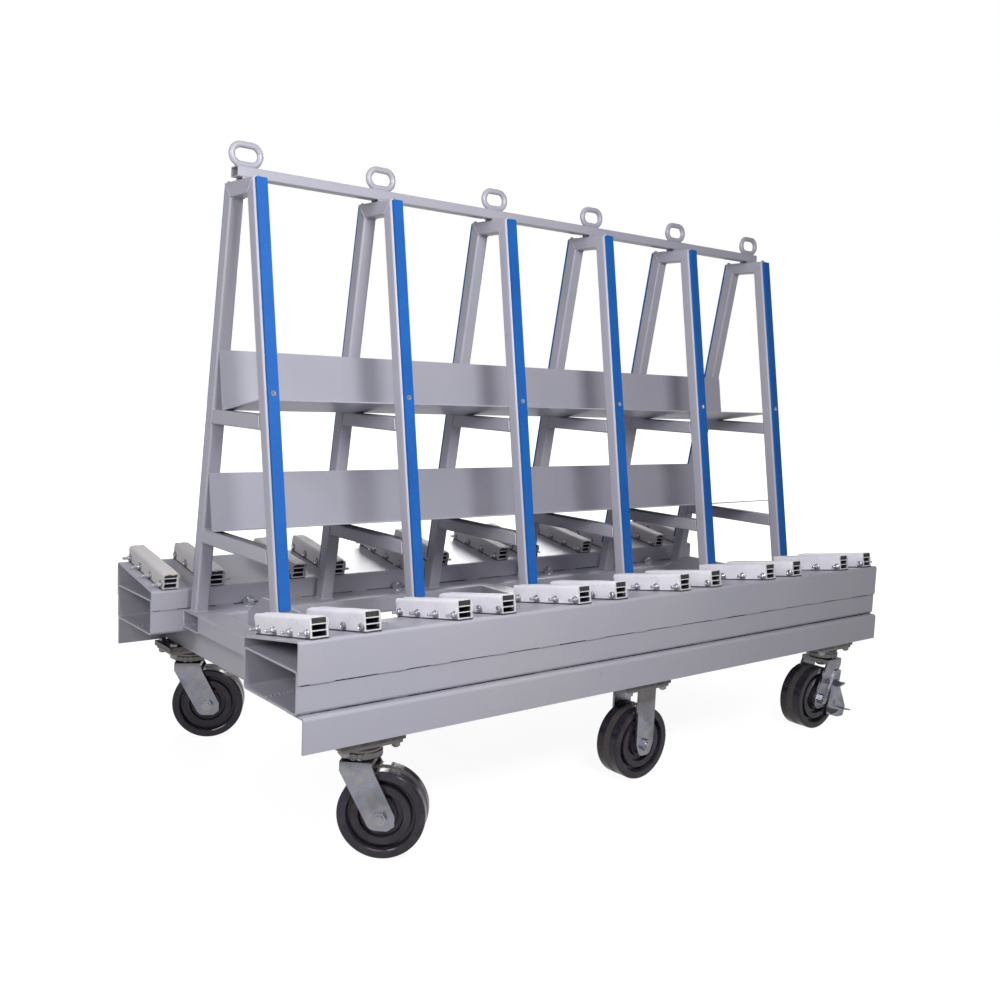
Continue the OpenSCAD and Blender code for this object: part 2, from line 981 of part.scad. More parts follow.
module rear_right_axle() {
  color(zinc)
    on_swivel(swivels[3])
      axle();
}

module rigid_axles() {
  color(zinc)
    for (side = [-1, 1])
      translate([0, side * caster_y, 0])
        axle();
}

// Moulded wheel: chamfered tread, deep groove inside the rim and a hub boss.
module wheel() {
  half = wheel_w / 2;
  bore = bush_d / 2 + run_clearance;
  side = [
    [bore, half + 2], [0.27 * wheel_r, half + 2], [0.285 * wheel_r, half - 1],
    [0.36 * wheel_r, half - 2], [0.385 * wheel_r, half - 12], [0.48 * wheel_r, half - 12],
    [0.51 * wheel_r, half - 3], [0.67 * wheel_r, half - 3], [0.695 * wheel_r, half - 17],
    [0.765 * wheel_r, half - 17], [0.795 * wheel_r, half - 1.5], [0.82 * wheel_r, half],
    [wheel_r - 4, half], [wheel_r - 1, half - 2], [wheel_r, half - 5]
  ];
  count = len(side);
  color(dark)
    translate([0, 0, wheel_r])
      rotate([90, 0, 0])
        rotate_extrude($fn = 96)
          polygon(concat(
            side,
            [for (i = [0:count - 1]) [side[count - 1 - i][0], -side[count - 1 - i][1]]]
          ));
}

module bush() {
  color(zinc)
    translate([0, 0, wheel_r])
      rotate([90, 0, 0])
        difference() {
          cylinder(2 * hub_half, d = bush_d, center = true);
          cylinder(2 * hub_half + 2, r = axle_d / 2 + run_clearance, center = true);
        }
}

module front_left_wheel() {
  on_swivel(swivels[0])
    wheel();
}

module rear_left_wheel() {
  on_swivel(swivels[1])
    wheel();
}

module front_right_wheel() {
  on_swivel(swivels[2])
    wheel();
}

module rear_right_wheel() {
  on_swivel(swivels[3])
    wheel();
}

module front_middle_wheel() {
  translate([0, -caster_y, 0])
    wheel();
}

module rear_middle_wheel() {
  translate([0, caster_y, 0])
    wheel();
}

module front_left_bush() {
  on_swivel(swivels[0])
    bush();
}

module rear_left_bush() {
  on_swivel(swivels[1])
    bush();
}

module front_right_bush() {
  on_swivel(swivels[2])
    bush();
}

module rear_right_bush() {
  on_swivel(swivels[3])
    bush();
}

module front_middle_bush() {
  translate([0, -caster_y, 0])
    bush();
}

module rear_middle_bush() {
  translate([0, caster_y, 0])
    bush();
}

// Top plate and upright fork of the two casters that don't swivel.
module rigid_forks() {
  color(zinc)
    for (side = [-1, 1])
      translate([0, side * caster_y, 0])
        difference() {
          union() {
            translate([0, 0, plate_under])
              drilled_plate(plate_l, plate_w, plate_t, 6);
            translate([-rigid_half, -fork_half, plate_under - fork_t])
              cube([2 * rigid_half, 2 * fork_half, fork_t]);
            for (leg = [-1, 1])
              on_side(leg)
                beside_wheel(fork_inner, fork_t)
                  round_outline(concat(
                    [[-rigid_half, plate_under, 1]], rigid_lower, [[rigid_half, plate_under, 1]]
                  ));
          }
          translate([0, 0, wheel_r])
            rotate([90, 0, 0])
              cylinder(2 * fork_half + 2, r = axle_d / 2 + run_clearance, center = true);
        }
}

// Side brakes

// Plate on the fork leg that carries a brake's pivot pin.
module brake_bracket(s) {
  color(zinc)
    translate([s[0], s[1], 0])
      rotate([0, 0, s[2]]) {
        beside_wheel(fork_half, bracket_t)
          round_outline(bracket_outline);
        translate([pivot_u, fork_half + bracket_t - 1, pivot_v])
          rotate([-90, 0, 0])
            cylinder(pedal_t + face_clearance + 5, d = pivot_d);
      }
}

module front_brake_bracket() {
  brake_bracket(swivels[2]);
}

module rear_brake_bracket() {
  brake_bracket(swivels[3]);
}

// Folded pedal: a side plate on the pivot, two flared treads and the
// bar that presses on the wheel.
module brake_pedal(s) {
  from = fork_half + bracket_t + face_clearance;
  color(zinc)
    translate([s[0], s[1], 0])
      rotate([0, 0, s[2]])
        difference() {
          union() {
            beside_wheel(from, pedal_t)
              round_outline(concat(pedal_upper, [
                [shoe_u - 18, shoe_v - 11, 7], [shoe_u + 12, shoe_v - 11, 7], pedal_heel
              ]));
            for (ends = pedal_treads)
              pedal_tread(from, ends[0], ends[1]);
            translate([shoe_u, -wheel_w / 2 + 2, shoe_v])
              rotate([-90, 0, 0])
                cylinder(from + wheel_w / 2, d = shoe_d);
          }
          translate([pivot_u, from - 1, pivot_v])
            rotate([-90, 0, 0])
              cylinder(pedal_t + 2, r = pivot_d / 2 + run_clearance);
        }
}

// Foot plate standing out from a pedal's side plate between two points.
module pedal_tread(from, a, b) {
  length = norm(b - a);
  translate([a[0], from + pedal_t / 2, a[1]])
    rotate([0, -atan2(b[1] - a[1], b[0] - a[0]), 0])
      linear_extrude(pedal_t)
        round_outline([
          [0, 0, 0.5], [length, 0, 0.5], [length + tread_flare, tread_reach, 5],
          [-tread_flare, tread_reach, 5]
        ]);
}

module front_brake_pedal() {
  brake_pedal(swivels[2]);
}

module rear_brake_pedal() {
  brake_pedal(swivels[3]);
}

top_rail();
rail_spacers();
lifting_eyes();
top_tubes();
front_legs();
rear_legs();
upper_crossbars();
lower_crossbars();
upper_tray();
lower_tray();
front_leg_strips();
rear_leg_strips();
front_deck_tube();
rear_deck_tube();
front_deck_cap();
rear_deck_cap();
front_side_angle();
rear_side_angle();
front_longitudinal();
rear_longitudinal();
end_cross_tubes();
mid_cross_tube();
lower_crossmembers();
packing_plates();
bulkhead_plates();
frame_bolts();
caster_pads();
swivel_top_plates();
caster_bolts();
rigid_forks();
rigid_axles();
pad_plates();
pad_cores();
pad_rubbers();
pad_covers();
front_left_fork();
rear_left_fork();
front_right_fork();
rear_right_fork();
front_left_axle();
rear_left_axle();
front_right_axle();
rear_right_axle();
front_left_wheel();
rear_left_wheel();
front_right_wheel();
rear_right_wheel();
front_middle_wheel();
rear_middle_wheel();
front_left_bush();
rear_left_bush();
front_right_bush();
rear_right_bush();
front_middle_bush();
rear_middle_bush();
front_brake_bracket();
rear_brake_bracket();
front_brake_pedal();
rear_brake_pedal();
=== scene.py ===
"""Sheet goods cart: its finishes, belts, fasteners and welds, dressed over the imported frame."""
import json
import logging
from dataclasses import dataclass, field
from enum import Enum
from functools import partial
from math import atan2, copysign, cos, dist, exp, hypot, pi, radians, sin, tan
from typing import Callable, Dict, List, Optional, Sequence, Tuple, Union

import bpy
from bpy.types import ID, Material, MeshPolygon, Node, NodeSocket, Object
from mathutils import Matrix, Vector

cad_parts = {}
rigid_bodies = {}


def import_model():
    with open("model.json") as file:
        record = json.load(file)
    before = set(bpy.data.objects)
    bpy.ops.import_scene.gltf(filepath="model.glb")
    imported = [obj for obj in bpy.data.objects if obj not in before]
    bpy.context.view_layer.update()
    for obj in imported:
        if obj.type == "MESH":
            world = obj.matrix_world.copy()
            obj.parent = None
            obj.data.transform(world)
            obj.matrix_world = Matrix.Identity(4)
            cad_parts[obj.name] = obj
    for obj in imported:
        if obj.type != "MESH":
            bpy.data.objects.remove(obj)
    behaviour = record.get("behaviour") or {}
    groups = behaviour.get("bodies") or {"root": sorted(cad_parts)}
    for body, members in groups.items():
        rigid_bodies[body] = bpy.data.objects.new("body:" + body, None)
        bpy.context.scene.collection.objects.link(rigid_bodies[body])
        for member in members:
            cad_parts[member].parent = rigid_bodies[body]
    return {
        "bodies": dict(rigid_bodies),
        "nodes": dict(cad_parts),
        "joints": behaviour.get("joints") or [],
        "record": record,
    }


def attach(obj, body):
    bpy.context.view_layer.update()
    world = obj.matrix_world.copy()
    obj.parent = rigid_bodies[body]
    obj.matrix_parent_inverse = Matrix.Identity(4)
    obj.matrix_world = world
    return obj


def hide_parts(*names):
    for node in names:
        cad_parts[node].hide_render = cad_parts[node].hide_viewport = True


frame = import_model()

LOG = logging.getLogger("sheet_goods_cart")

LEAN = radians(9.27)
FRAME_GAP = 0.3865
FRAME_XS = [(i - 2.5) * FRAME_GAP for i in range(6)]
TUBE = 0.0381
APEX_Z = 1.543
APEX_HALF = 0.078
WHEEL_RADIUS = 0.1016
Pair = Tuple[float, float]
Triple = Tuple[float, float, float]
Number = Union[float, "Reading"]
Casters = Dict[str, Tuple[float, float, Optional[float]]]


class Side(Enum):
    """The two long sides of the cart, as signs along Y."""

    FRONT = -1
    REAR = 1


class Axis(Enum):
    """The coordinates that finishes read, as a Separate XYZ node's outputs."""

    Y = 1
    Z = 2


# Shader maths


class Reading:
    """A value in a shader, so that maths on it reads as a plain expression."""

    def __init__(self, shader: "Shader", socket: NodeSocket) -> None:
        """Wraps the output socket that carries the value."""
        self.shader = shader
        self.socket = socket

    def _math(self, operation: str, *values: Number) -> "Reading":
        """Returns a Math node's result for its inputs in order."""
        return self.shader.read("Math", {"operation": operation}, dict(enumerate(values)))

    def __add__(self, other: Number) -> "Reading":
        """Returns self + other."""
        return self._math("ADD", self, other)

    __radd__ = __add__

    def __sub__(self, other: Number) -> "Reading":
        """Returns self - other."""
        return self._math("SUBTRACT", self, other)

    def __rsub__(self, other: Number) -> "Reading":
        """Returns other - self."""
        return self._math("SUBTRACT", other, self)

    def __mul__(self, other: Number) -> "Reading":
        """Returns self times other."""
        return self._math("MULTIPLY", self, other)

    __rmul__ = __mul__

    def __truediv__(self, other: Number) -> "Reading":
        """Returns self divided by other."""
        return self._math("DIVIDE", self, other)

    def __pow__(self, other: Number) -> "Reading":
        """Returns self to the power of other."""
        return self._math("POWER", self, other)

    def lesser(self, other: Number) -> "Reading":
        """Returns the smaller of self and other."""
        return self._math("MINIMUM", self, other)

    def greater(self, other: Number) -> "Reading":
        """Returns the larger of self and other."""
        return self._math("MAXIMUM", self, other)

    def size(self) -> "Reading":
        """Returns self without its sign."""
        return self._math("ABSOLUTE", self)

    def sine(self) -> "Reading":
        """Returns the sine of self, in radians."""
        return self._math("SINE", self)

    def ramp(self, low: float, high: float) -> "Reading":
        """Rises smoothly from 0 at low to 1 at high.

        Args:
            low: The value that gives 0.
            high: The value that gives 1; it may be the smaller of the two.

        Returns:
            The eased share.
        """
        flip = high < low
        least, most = sorted((low, high))
        values = {"Value": self, "From Min": least, "From Max": most,
                  "To Min": float(flip), "To Max": float(not flip)}
        settings = {"interpolation_type": "SMOOTHSTEP"}
        return self.shader.read("MapRange", settings, values, "Result")


class Shader:
    """The node tree of a material or of the world, built from readings."""

    def __init__(self, name: str, world: bool = False) -> None:
        """Makes an empty material or, if asked, an empty world."""
        self.owner = (bpy.data.worlds if world else bpy.data.materials).new(name)
        self.owner.use_nodes = True
        self.tree = self.owner.node_tree
        self.tree.nodes.clear()
        self.output = self.add(f"Output{'World' if world else 'Material'}", {}, {})
        self.place = None if world else self.add("TexCoord", {}, {}).outputs["Object"]

    def feed(self, socket: NodeSocket, value: object) -> None:
        """Gives an input a number, a tuple, a socket or a reading."""
        if isinstance(value, Reading):
            value = value.socket
        if isinstance(value, NodeSocket):
            self.tree.links.new(value, socket)
        elif isinstance(value, tuple) and len(value) == 3 and socket.type == "RGBA":
            socket.default_value = (*value, 1.0)
        else:
            socket.default_value = value

    def add(self, kind: str, settings: Dict, values: Dict) -> Node:
        """Adds any node.

        Args:
            kind: The node's type, without ShaderNode.
            settings: Its properties, set before its sockets.
            values: What each input gets, by its name or index.

        Returns:
            The new node.
        """
        node = self.tree.nodes.new(f"ShaderNode{kind}")
        for key, value in settings.items():
            setattr(node, key, value)
        for key, value in values.items():
            self.feed(node.inputs[key], value)
        return node

    def read(self, kind: str, settings: Dict, values: Dict, output: object = 0) -> Reading:
        """Adds a node and reads one output of it, by name or index."""
        return Reading(self, self.add(kind, settings, values).outputs[output])

    def vector(self, operation: str, *values: object, output: str = "Vector") -> Reading:
        """Returns a Vector Math node's result for its inputs in order."""
        settings = {"operation": operation}
        return self.read("VectorMath", settings, dict(enumerate(values)), output)

    def axis(self, which: Axis) -> Reading:
        """Returns one coordinate of the surface point, in metres."""
        return self.read("SeparateXYZ", {}, {0: self.place}, which.value)

    def stretched(self, scale: Triple) -> Reading:
        """Returns the surface point with each axis scaled."""
        return self.read("Mapping", {}, {"Vector": self.place, "Scale": scale})

    def noise(self, scale: float, detail: float = 2.0, rough: float = 0.5,
              at: Optional[Reading] = None) -> Reading:
        """Returns noise about 0.5, scale features a metre, at a point or else the surface."""
        values = {"Vector": at or self.place, "Scale": scale, "Detail": detail, "Roughness": rough}
        return self.read("TexNoise", {"noise_dimensions": "3D"}, values, "Fac")

    def specks(self, scale: float) -> Reading:
        """Returns the distance to scattered points, of which there are scale a metre."""
        values = {"Vector": self.place, "Scale": scale}
        return self.read("TexVoronoi", {"feature": "F1"}, values, "Distance")

    def blend(self, share: Number, low: object, high: object) -> NodeSocket:
        """Mixes two colours, tuples or sockets; share is how much of the second shows."""
        made = self.add("Mix", {"data_type": "RGBA", "blend_type": "MIX"}, {0: share})
        for key, value in (("A", low), ("B", high)):
            self.feed(next(s for s in made.inputs if s.name == key and s.type == "RGBA"), value)
        return next(s for s in made.outputs if s.type == "RGBA")

    def bump(self, height: Reading, distance: float, strength: float,
             over: Optional[NodeSocket] = None) -> NodeSocket:
        """Turns a height of 0 to 1 times a distance in metres into a normal, over another."""
        values = {"Height": height, "Distance": distance, "Strength": strength}
        if over is not None:
            values["Normal"] = over
        return self.add("Bump", {}, values).outputs["Normal"]

    def close(self, node: Node) -> ID:
        """Shows a node's first output and returns the material or world."""
        self.feed(self.output.inputs["Surface"], node.outputs[0])
        return self.owner

    def principled(self, **values: object) -> Material:
        """Closes the tree with a Principled BSDF; underscores stand for spaces."""
        inputs = {key.replace("_", " "): value for key, value in values.items()}
        return self.close(self.add("BsdfPrincipled", {}, inputs))


# Finishes


@dataclass(frozen=True)
class GreyPaint:
    """Sprayed grey enamel over mill-finish steel, scuffed and a little dusty."""

    colour: Triple = (0.378, 0.374, 0.446)
    warm: Triple = (0.410, 0.402, 0.460)
    rough: float = 0.38

    def material(self) -> Material:
        """Returns the finished material."""
        s = Shader("grey_paint")
        cloud = s.noise(3.0, 3.0, 0.55)
        grit = s.noise(420.0, 2.0, 0.6)
        drawn = s.noise(1.0, 4.0, 0.6, s.stretched((6.0, 90.0, 90.0)))
        low = s.axis(Axis.Z).ramp(0.62, 0.26)
        scuff = s.noise(26.0, 6.0, 0.72).ramp(0.60, 0.70) * s.noise(5.0).ramp(0.46, 0.62)
        tint = s.blend(cloud.ramp(0.35, 0.68), self.colour, self.warm)
        dusty = s.blend(low * cloud.ramp(0.3, 0.75) * 0.22, tint, (0.30, 0.29, 0.31))
        worn = s.blend(scuff * 0.35, dusty, (0.25, 0.25, 0.28))
        fine = s.blend((grit - 0.5) * 0.16 + 0.08, worn, (0.5, 0.5, 0.54))
        normal = s.bump(grit, 0.00022, 0.5)
        normal = s.bump(drawn, 0.0004, 0.12, normal)
        gloss = cloud * 0.16 + scuff * 0.18 + (self.rough - 0.08)
        return s.principled(
            Base_Color=fine, Roughness=gloss, Normal=normal, Metallic=0.06,
            Coat_Weight=0.06, Coat_Roughness=0.25, Specular_IOR_Level=0.38,
        )


@dataclass(frozen=True)
class SeamDirtAndShadow:
    """Rust-brown dirt and painted shadow in an open seam."""

    colour: Triple = (0.030, 0.026, 0.026)

    def material(self) -> Material:
        """Returns the finished material."""
        # Near-black seam colour: dirt in the gap, darkened further as painted shadow under the
        # flange edge
        s = Shader("seam_dirt_and_shadow")
        crumbs = s.noise(500.0, 3.0, 0.6)
        patch = s.noise(18.0, 3.0, 0.6).ramp(0.50, 0.66)
        base = s.blend(patch * 0.55, self.colour, (0.22, 0.21, 0.23))
        return s.principled(Base_Color=base, Roughness=crumbs * 0.2 + 0.7,
                            Normal=s.bump(crumbs, 0.0004, 0.6))


@dataclass(frozen=True)
class BluePlastic:
    """Saturated blue polyethylene strip, rubbed lengthways by boards."""

    colour: Triple = (0.008, 0.112, 0.42)

    def material(self) -> Material:
        """Returns the finished material."""
        s = Shader("blue_strip_plastic")
        rubbed = s.noise(1.0, 5.0, 0.65, s.stretched((420.0, 420.0, 5.0)))
        cloud = s.noise(7.0, 3.0, 0.6)
        dark = s.blend(cloud.ramp(0.35, 0.7), self.colour, (0.006, 0.095, 0.38))
        pale = s.blend(rubbed.ramp(0.56, 0.72) * 0.30, dark, (0.045, 0.21, 0.60))
        specks = s.specks(160.0).ramp(0.10, 0.05) * s.noise(40.0).ramp(0.55, 0.62)
        base = s.blend(specks * 0.5, pale, (0.20, 0.33, 0.62))
        normal = s.bump(rubbed, 0.0002, 0.45)
        return s.principled(
            Base_Color=base, Roughness=rubbed * 0.25 + 0.44, Normal=normal,
            Specular_IOR_Level=0.28,
        )


@dataclass(frozen=True)
class ZincPlate:
    """Bright zinc plating with cloudy blue and straw tints."""

    name: str
    colour: Triple
    rough: float
    tint: float
    brown: float = 0.0

    def material(self) -> Material:
        """Returns the finished material."""
        s = Shader(self.name)
        cloud = s.noise(34.0, 3.0, 0.6)
        broad = s.noise(13.0, 2.0, 0.5)
        grain = s.noise(900.0, 2.0, 0.6)
        straw = s.blend(cloud.ramp(0.48, 0.70) * self.tint, self.colour, (0.46, 0.41, 0.34))
        cool = s.blend(cloud.ramp(0.50, 0.32) * self.tint, straw, (0.30, 0.34, 0.46))
        stain = s.noise(80.0, 5.0, 0.7).ramp(0.54, 0.72)
        base = s.blend(stain * 0.45, cool, (0.20, 0.19, 0.19))
        base = s.blend(broad.ramp(0.56, 0.36) * self.tint * 1.6, base, (0.15, 0.15, 0.175))
        if self.brown:
            crown = s.axis(Axis.Z).ramp(0.208, 0.232) * (cloud * 0.5 + 0.7)
            base = s.blend(crown * self.brown, base, (0.135, 0.120, 0.110))
        return s.principled(
            Base_Color=base, Metallic=0.92,
            Roughness=cloud * 0.25 + grain * 0.12 + (self.rough - 0.16),
            Normal=s.bump(cloud, 0.0016, 0.5, s.bump(grain, 0.00012, 0.5)),
        )


@dataclass(frozen=True)
class ResinWheel:
    """Black moulded phenolic resin, glossy on its sides and worn brown-grey on its tread."""

    name: str
    centre: Triple
    axle: Triple

    def material(self) -> Material:
        """Returns the finished material."""
        s = Shader(self.name)
        arm = s.vector("SUBTRACT", s.place, self.centre)
        swept = s.vector("CROSS_PRODUCT", arm, self.axle)
        out = s.vector("LENGTH", swept, output="Value") / WHEEL_RADIUS
        along = s.vector("DOT_PRODUCT", arm, self.axle, output="Value")
        drift = along + (s.noise(9.0) - 0.5) * 0.008
        tread = out.ramp(0.975, 0.992) * drift.size().ramp(0.0125, 0.0085)
        fibres = s.noise(260.0, 4.0, 0.7)
        cloud = s.noise(30.0, 4.0, 0.65)
        body = s.blend(cloud.ramp(0.4, 0.7), (0.021, 0.0168, 0.0255), (0.036, 0.0295, 0.041))
        fleck = s.blend(fibres.ramp(0.62, 0.74) * 0.35, body, (0.05, 0.045, 0.046))
        worn = s.blend(fibres.ramp(0.35, 0.65), (0.050, 0.044, 0.042), (0.095, 0.085, 0.080))
        base = s.blend(tread * cloud.ramp(0.10, 0.34), fleck, worn)
        # a lighter ring over the groove, from 0.68 to 0.78 of the radius, plus faint specks over
        # the whole side
        groove_lightening = out.ramp(0.68, 0.72) * out.ramp(0.78, 0.755)
        base = s.blend(groove_lightening * 0.18 + fibres.ramp(0.55, 0.8) * 0.04, base, (0.09, 0.082, 0.080))
        return s.principled(
            Base_Color=base, Roughness=tread * 0.40 + cloud * 0.10 + 0.09,
            Normal=s.bump(fibres, 0.0003, 0.12), Specular_IOR_Level=0.34,
        )


@dataclass(frozen=True)
class MillAlloy:
    """Extruded aluminium, bright at the bars' cut ends, with painted shade making it dark inside
    their cells.
    """

    colour: Triple = (0.78, 0.78, 0.84)
    # inside: painted shade for the cells' hollows, not a colour of the metal
    inside: Triple = (0.085, 0.082, 0.095)
    middle: Pair = (0.408, 0.503)
    mouth: Pair = (0.1258, 0.1215)

    def material(self) -> Material:
        """Returns the finished material."""
        s = Shader("mill_alloy")
        die = s.noise(1.0, 3.0, 0.6, s.stretched((700.0, 12.0, 700.0)))
        cloud = s.noise(30.0, 3.0, 0.6)
        base = s.blend(cloud.ramp(0.35, 0.7) * 0.5, self.colour, (0.62, 0.62, 0.68))
        out = (s.axis(Axis.Y).size() - self.middle[0]) * cos(LEAN)
        along = out + (s.axis(Axis.Z) - self.middle[1]) * sin(LEAN)
        # Painted shade: away from the cut ends the alloy turns to the dark inside colour
        base = s.blend(along.size().ramp(*self.mouth), base, self.inside)
        return s.principled(
            Base_Color=base, Metallic=0.45, Roughness=die * 0.25 + 0.28,
            Normal=s.bump(die, 0.0002, 0.4),
        )


@dataclass(frozen=True)
class BlackRubber:
    """Dull black rubber with a bloom of grey dust."""

    name: str = "black_rubber"
    colour: Triple = (0.020, 0.020, 0.022)

    def material(self) -> Material:
        """Returns the finished material."""
        s = Shader(self.name)
        grain = s.noise(600.0, 3.0, 0.7)
        bloom = s.noise(45.0, 4.0, 0.65).ramp(0.42, 0.72)
        base = s.blend(bloom * 0.45, self.colour, (0.065, 0.062, 0.064))
        return s.principled(
            Base_Color=base, Roughness=bloom * 0.12 + 0.62, Normal=s.bump(grain, 0.0004, 0.5)
        )


@dataclass(frozen=True)
class TurnedSteel:
    """Bare steel, turned or rolled, with a film of grease."""

    name: str = "turned_steel"
    colour: Triple = (0.42, 0.42, 0.43)
    film: Triple = (0.14, 0.12, 0.10)

    def material(self) -> Material:
        """Returns the finished material."""
        s = Shader(self.name)
        grain = s.noise(700.0, 3.0, 0.6)
        grease = s.noise(60.0, 3.0, 0.6).ramp(0.45, 0.7)
        base = s.blend(grease * 0.6, self.colour, self.film)
        return s.principled(
            Base_Color=base, Metallic=0.95, Roughness=grease * 0.2 + 0.28,
            Normal=s.bump(grain, 0.0002, 0.4),
        )


@dataclass(frozen=True)
class WhiteBelt:
    """Off-white woven belting, warm and frayed along its cut edges."""

    colour: Triple = (0.82, 0.80, 0.885)
    edge: Triple = (0.50, 0.43, 0.34)
    threads: Pair = (0.0011, 0.0014)
    ends: Tuple[float, ...] = (0.0045, 0.0015, 0.2565, 0.2590)
    feet: Tuple[float, ...] = (0.0050, 0.0018, 0.1255, 0.1290)
    bolt_rows: Pair = (0.0105, 0.1225)
    bolts: Tuple[float, ...] = (0.018, 0.095, 0.171, 0.248)

    @staticmethod
    def _rim(place: Reading, cut: Reading, marks: Sequence[float]) -> Reading:
        """Returns the share of frayed edge at both ends of a direction."""
        start, end = (place + cut).ramp(*marks[:2]), (place - cut).ramp(*marks[2:])
        return start.greater(end)

    def _bolt_distance(self, around: Reading, along: Reading) -> Reading:
        """Returns the distance to the nearest bolt."""
        height = (around - self.bolt_rows[0]).size().lesser((around - self.bolt_rows[1]).size())
        closest_gap = None
        for bolt in self.bolts:
            gap = ((along - bolt) ** 2 + height * height) ** 0.5
            closest_gap = gap if closest_gap is None else closest_gap.lesser(gap)
        return closest_gap

    def material(self) -> Material:
        """Returns the finished material."""
        s = Shader("white_belt")
        uv = s.add("UVMap", {"uv_map": "UVMap"}, {}).outputs[0]
        parts = s.add("SeparateXYZ", {}, {0: uv})
        around, along = (Reading(s, output) for output in parts.outputs[:2])
        warp = (around * (2 * pi / self.threads[0])).sine()
        weft = (along * (2 * pi / self.threads[1])).sine()
        weave = warp * weft * 0.5 + 0.5
        soil = s.noise(20.0, 5.0, 0.65)
        grime = s.noise(70.0, 4.0, 0.7).ramp(0.55, 0.72)
        cut = s.noise(120.0, 3.0, 0.6) * 0.004
        rim = self._rim(along, cut, self.ends).greater(self._rim(around, cut, self.feet))
        # Painted shadow: a dark ring round each bolt's washer stands in for its contact shadow on
        # the belt
        bolt_shadow_ring = (self._bolt_distance(around, along) + (soil - 0.5) * 0.003).ramp(0.0138, 0.0098)
        body = s.blend(soil.ramp(0.35, 0.70) * 0.55, self.colour, (0.74, 0.72, 0.775))
        marked = s.blend(grime * 0.26, body, (0.43, 0.40, 0.385))
        fluff = s.noise(340.0, 3.0, 0.7)
        marked = s.blend(fluff.ramp(0.52, 0.72) * 0.24, marked, (0.52, 0.505, 0.53))
        # Painted shade: belts on the rear deck, past y = 0.1, are made darker and browner than the
        # front ones
        marked = s.blend(s.axis(Axis.Y).ramp(-0.1, 0.1) * 0.62, marked, (0.40, 0.365, 0.345))
        marked = s.blend(bolt_shadow_ring * 0.85, marked, (0.075, 0.070, 0.080))
        base = s.blend(rim * 0.75, marked, self.edge)
        thread = s.blend(weave * 0.10, base, (0.86, 0.85, 0.86))
        normal = s.bump(weave, 0.00035, 0.35)
        normal = s.bump(fluff, 0.0006, 0.5, normal)
        normal = s.bump(soil, 0.0015, 0.35, normal)
        return s.principled(
            Base_Color=thread, Roughness=soil * 0.2 + 0.55, Normal=normal,
            Sheen_Weight=0.15, Sheen_Roughness=0.6,
        )


# Modelling helpers


def clear() -> None:
    """Leaves edit mode and deselects everything."""
    if bpy.context.object is not None and bpy.context.object.mode != "OBJECT":
        bpy.ops.object.mode_set(mode="OBJECT")
    bpy.ops.object.select_all(action="DESELECT")


def only(thing: Object) -> None:
    """Selects one object and makes it active."""
    clear()
    thing.select_set(True)
    bpy.context.view_layer.objects.active = thing


def round_bar(radius: float, depth: float, at: Triple, sides: int = 24,
              turn: Triple = (0.0, 0.0, 0.0)) -> Object:
    """Adds a cylinder primitive, by its middle and its turn in radians, to be shaped."""
    clear()
    bpy.ops.mesh.primitive_cylinder_add(
        vertices=sides, radius=radius, depth=depth, location=at, rotation=turn
    )
    return bpy.context.object


def grid(columns: int, rows: int) -> Object:
    """Adds a grid primitive of side 1, with a UV map, to be wrapped."""
    clear()
    bpy.ops.mesh.primitive_grid_add(
        x_subdivisions=columns, y_subdivisions=rows, size=1.0, calc_uvs=True
    )
    return bpy.context.object


def recess(thing: Object, wanted: Callable[[MeshPolygon], bool], steps: Sequence[Pair]) -> None:
    """Insets some faces, one step after another.

    Args:
        thing: The mesh object.
        wanted: True for the faces to inset.
        steps: The thickness and depth of each inset.
    """
    only(thing)
    bpy.ops.object.mode_set(mode="EDIT")
    bpy.ops.mesh.select_mode(type="FACE")
    bpy.ops.mesh.select_all(action="DESELECT")
    bpy.ops.object.mode_set(mode="OBJECT")
    for face in thing.data.polygons:
        face.select = wanted(face)
    bpy.ops.object.mode_set(mode="EDIT")
    for thickness, depth in steps:
        bpy.ops.mesh.inset(thickness=thickness, depth=depth)
    bpy.ops.object.mode_set(mode="OBJECT")


def modify(thing: Object, kind: str, **settings: object) -> None:
    """Applies one modifier of a kind, with its settings."""
    only(thing)
    modifier = thing.modifiers.new("change", kind)
    for key, value in settings.items():
        setattr(modifier, key, value)
    bpy.ops.object.modifier_apply(modifier=modifier.name)


def bevel(thing: Object, width: float, angle: float = 35.0) -> None:
    """Cuts the edges that are sharper than an angle in degrees."""
    modify(thing, "BEVEL", width=width, segments=1, limit_method="ANGLE",
           angle_limit=radians(angle))


def settle(thing: Object) -> None:
    """Applies an object's place and turn to its mesh."""
    only(thing)
    bpy.ops.object.transform_apply(location=True, rotation=True, scale=True)


def join(name: str, things: Sequence[Object]) -> Object:
    """Joins objects into one, with its place in its mesh.

    Args:
        name: The joined object's name.
        things: The objects.

    Returns:
        The joined object.
    """
    only(things[0])
    for thing in things:
        thing.select_set(True)
    bpy.ops.object.join()
    joined = bpy.context.object
    joined.name = name
    joined.data.name = name
    settle(joined)
    return joined


def copy(thing: Object, place: Matrix) -> Object:
    """Copies a piece, mesh and all, with its new place in its mesh."""
    made = bpy.data.objects.new(thing.name, thing.data.copy())
    made.data.transform(place)
    bpy.context.collection.objects.link(made)
    return made


def drop(thing: Object) -> None:
    """Deletes an object that was only a pattern for copies."""
    bpy.data.objects.remove(thing, do_unlink=True)


def smooth(thing: Object, angle: float = 32.0) -> None:
    """Shades an object smooth, apart from its sharp edges."""
    only(thing)
    bpy.ops.object.shade_smooth_by_angle(angle=radians(angle))


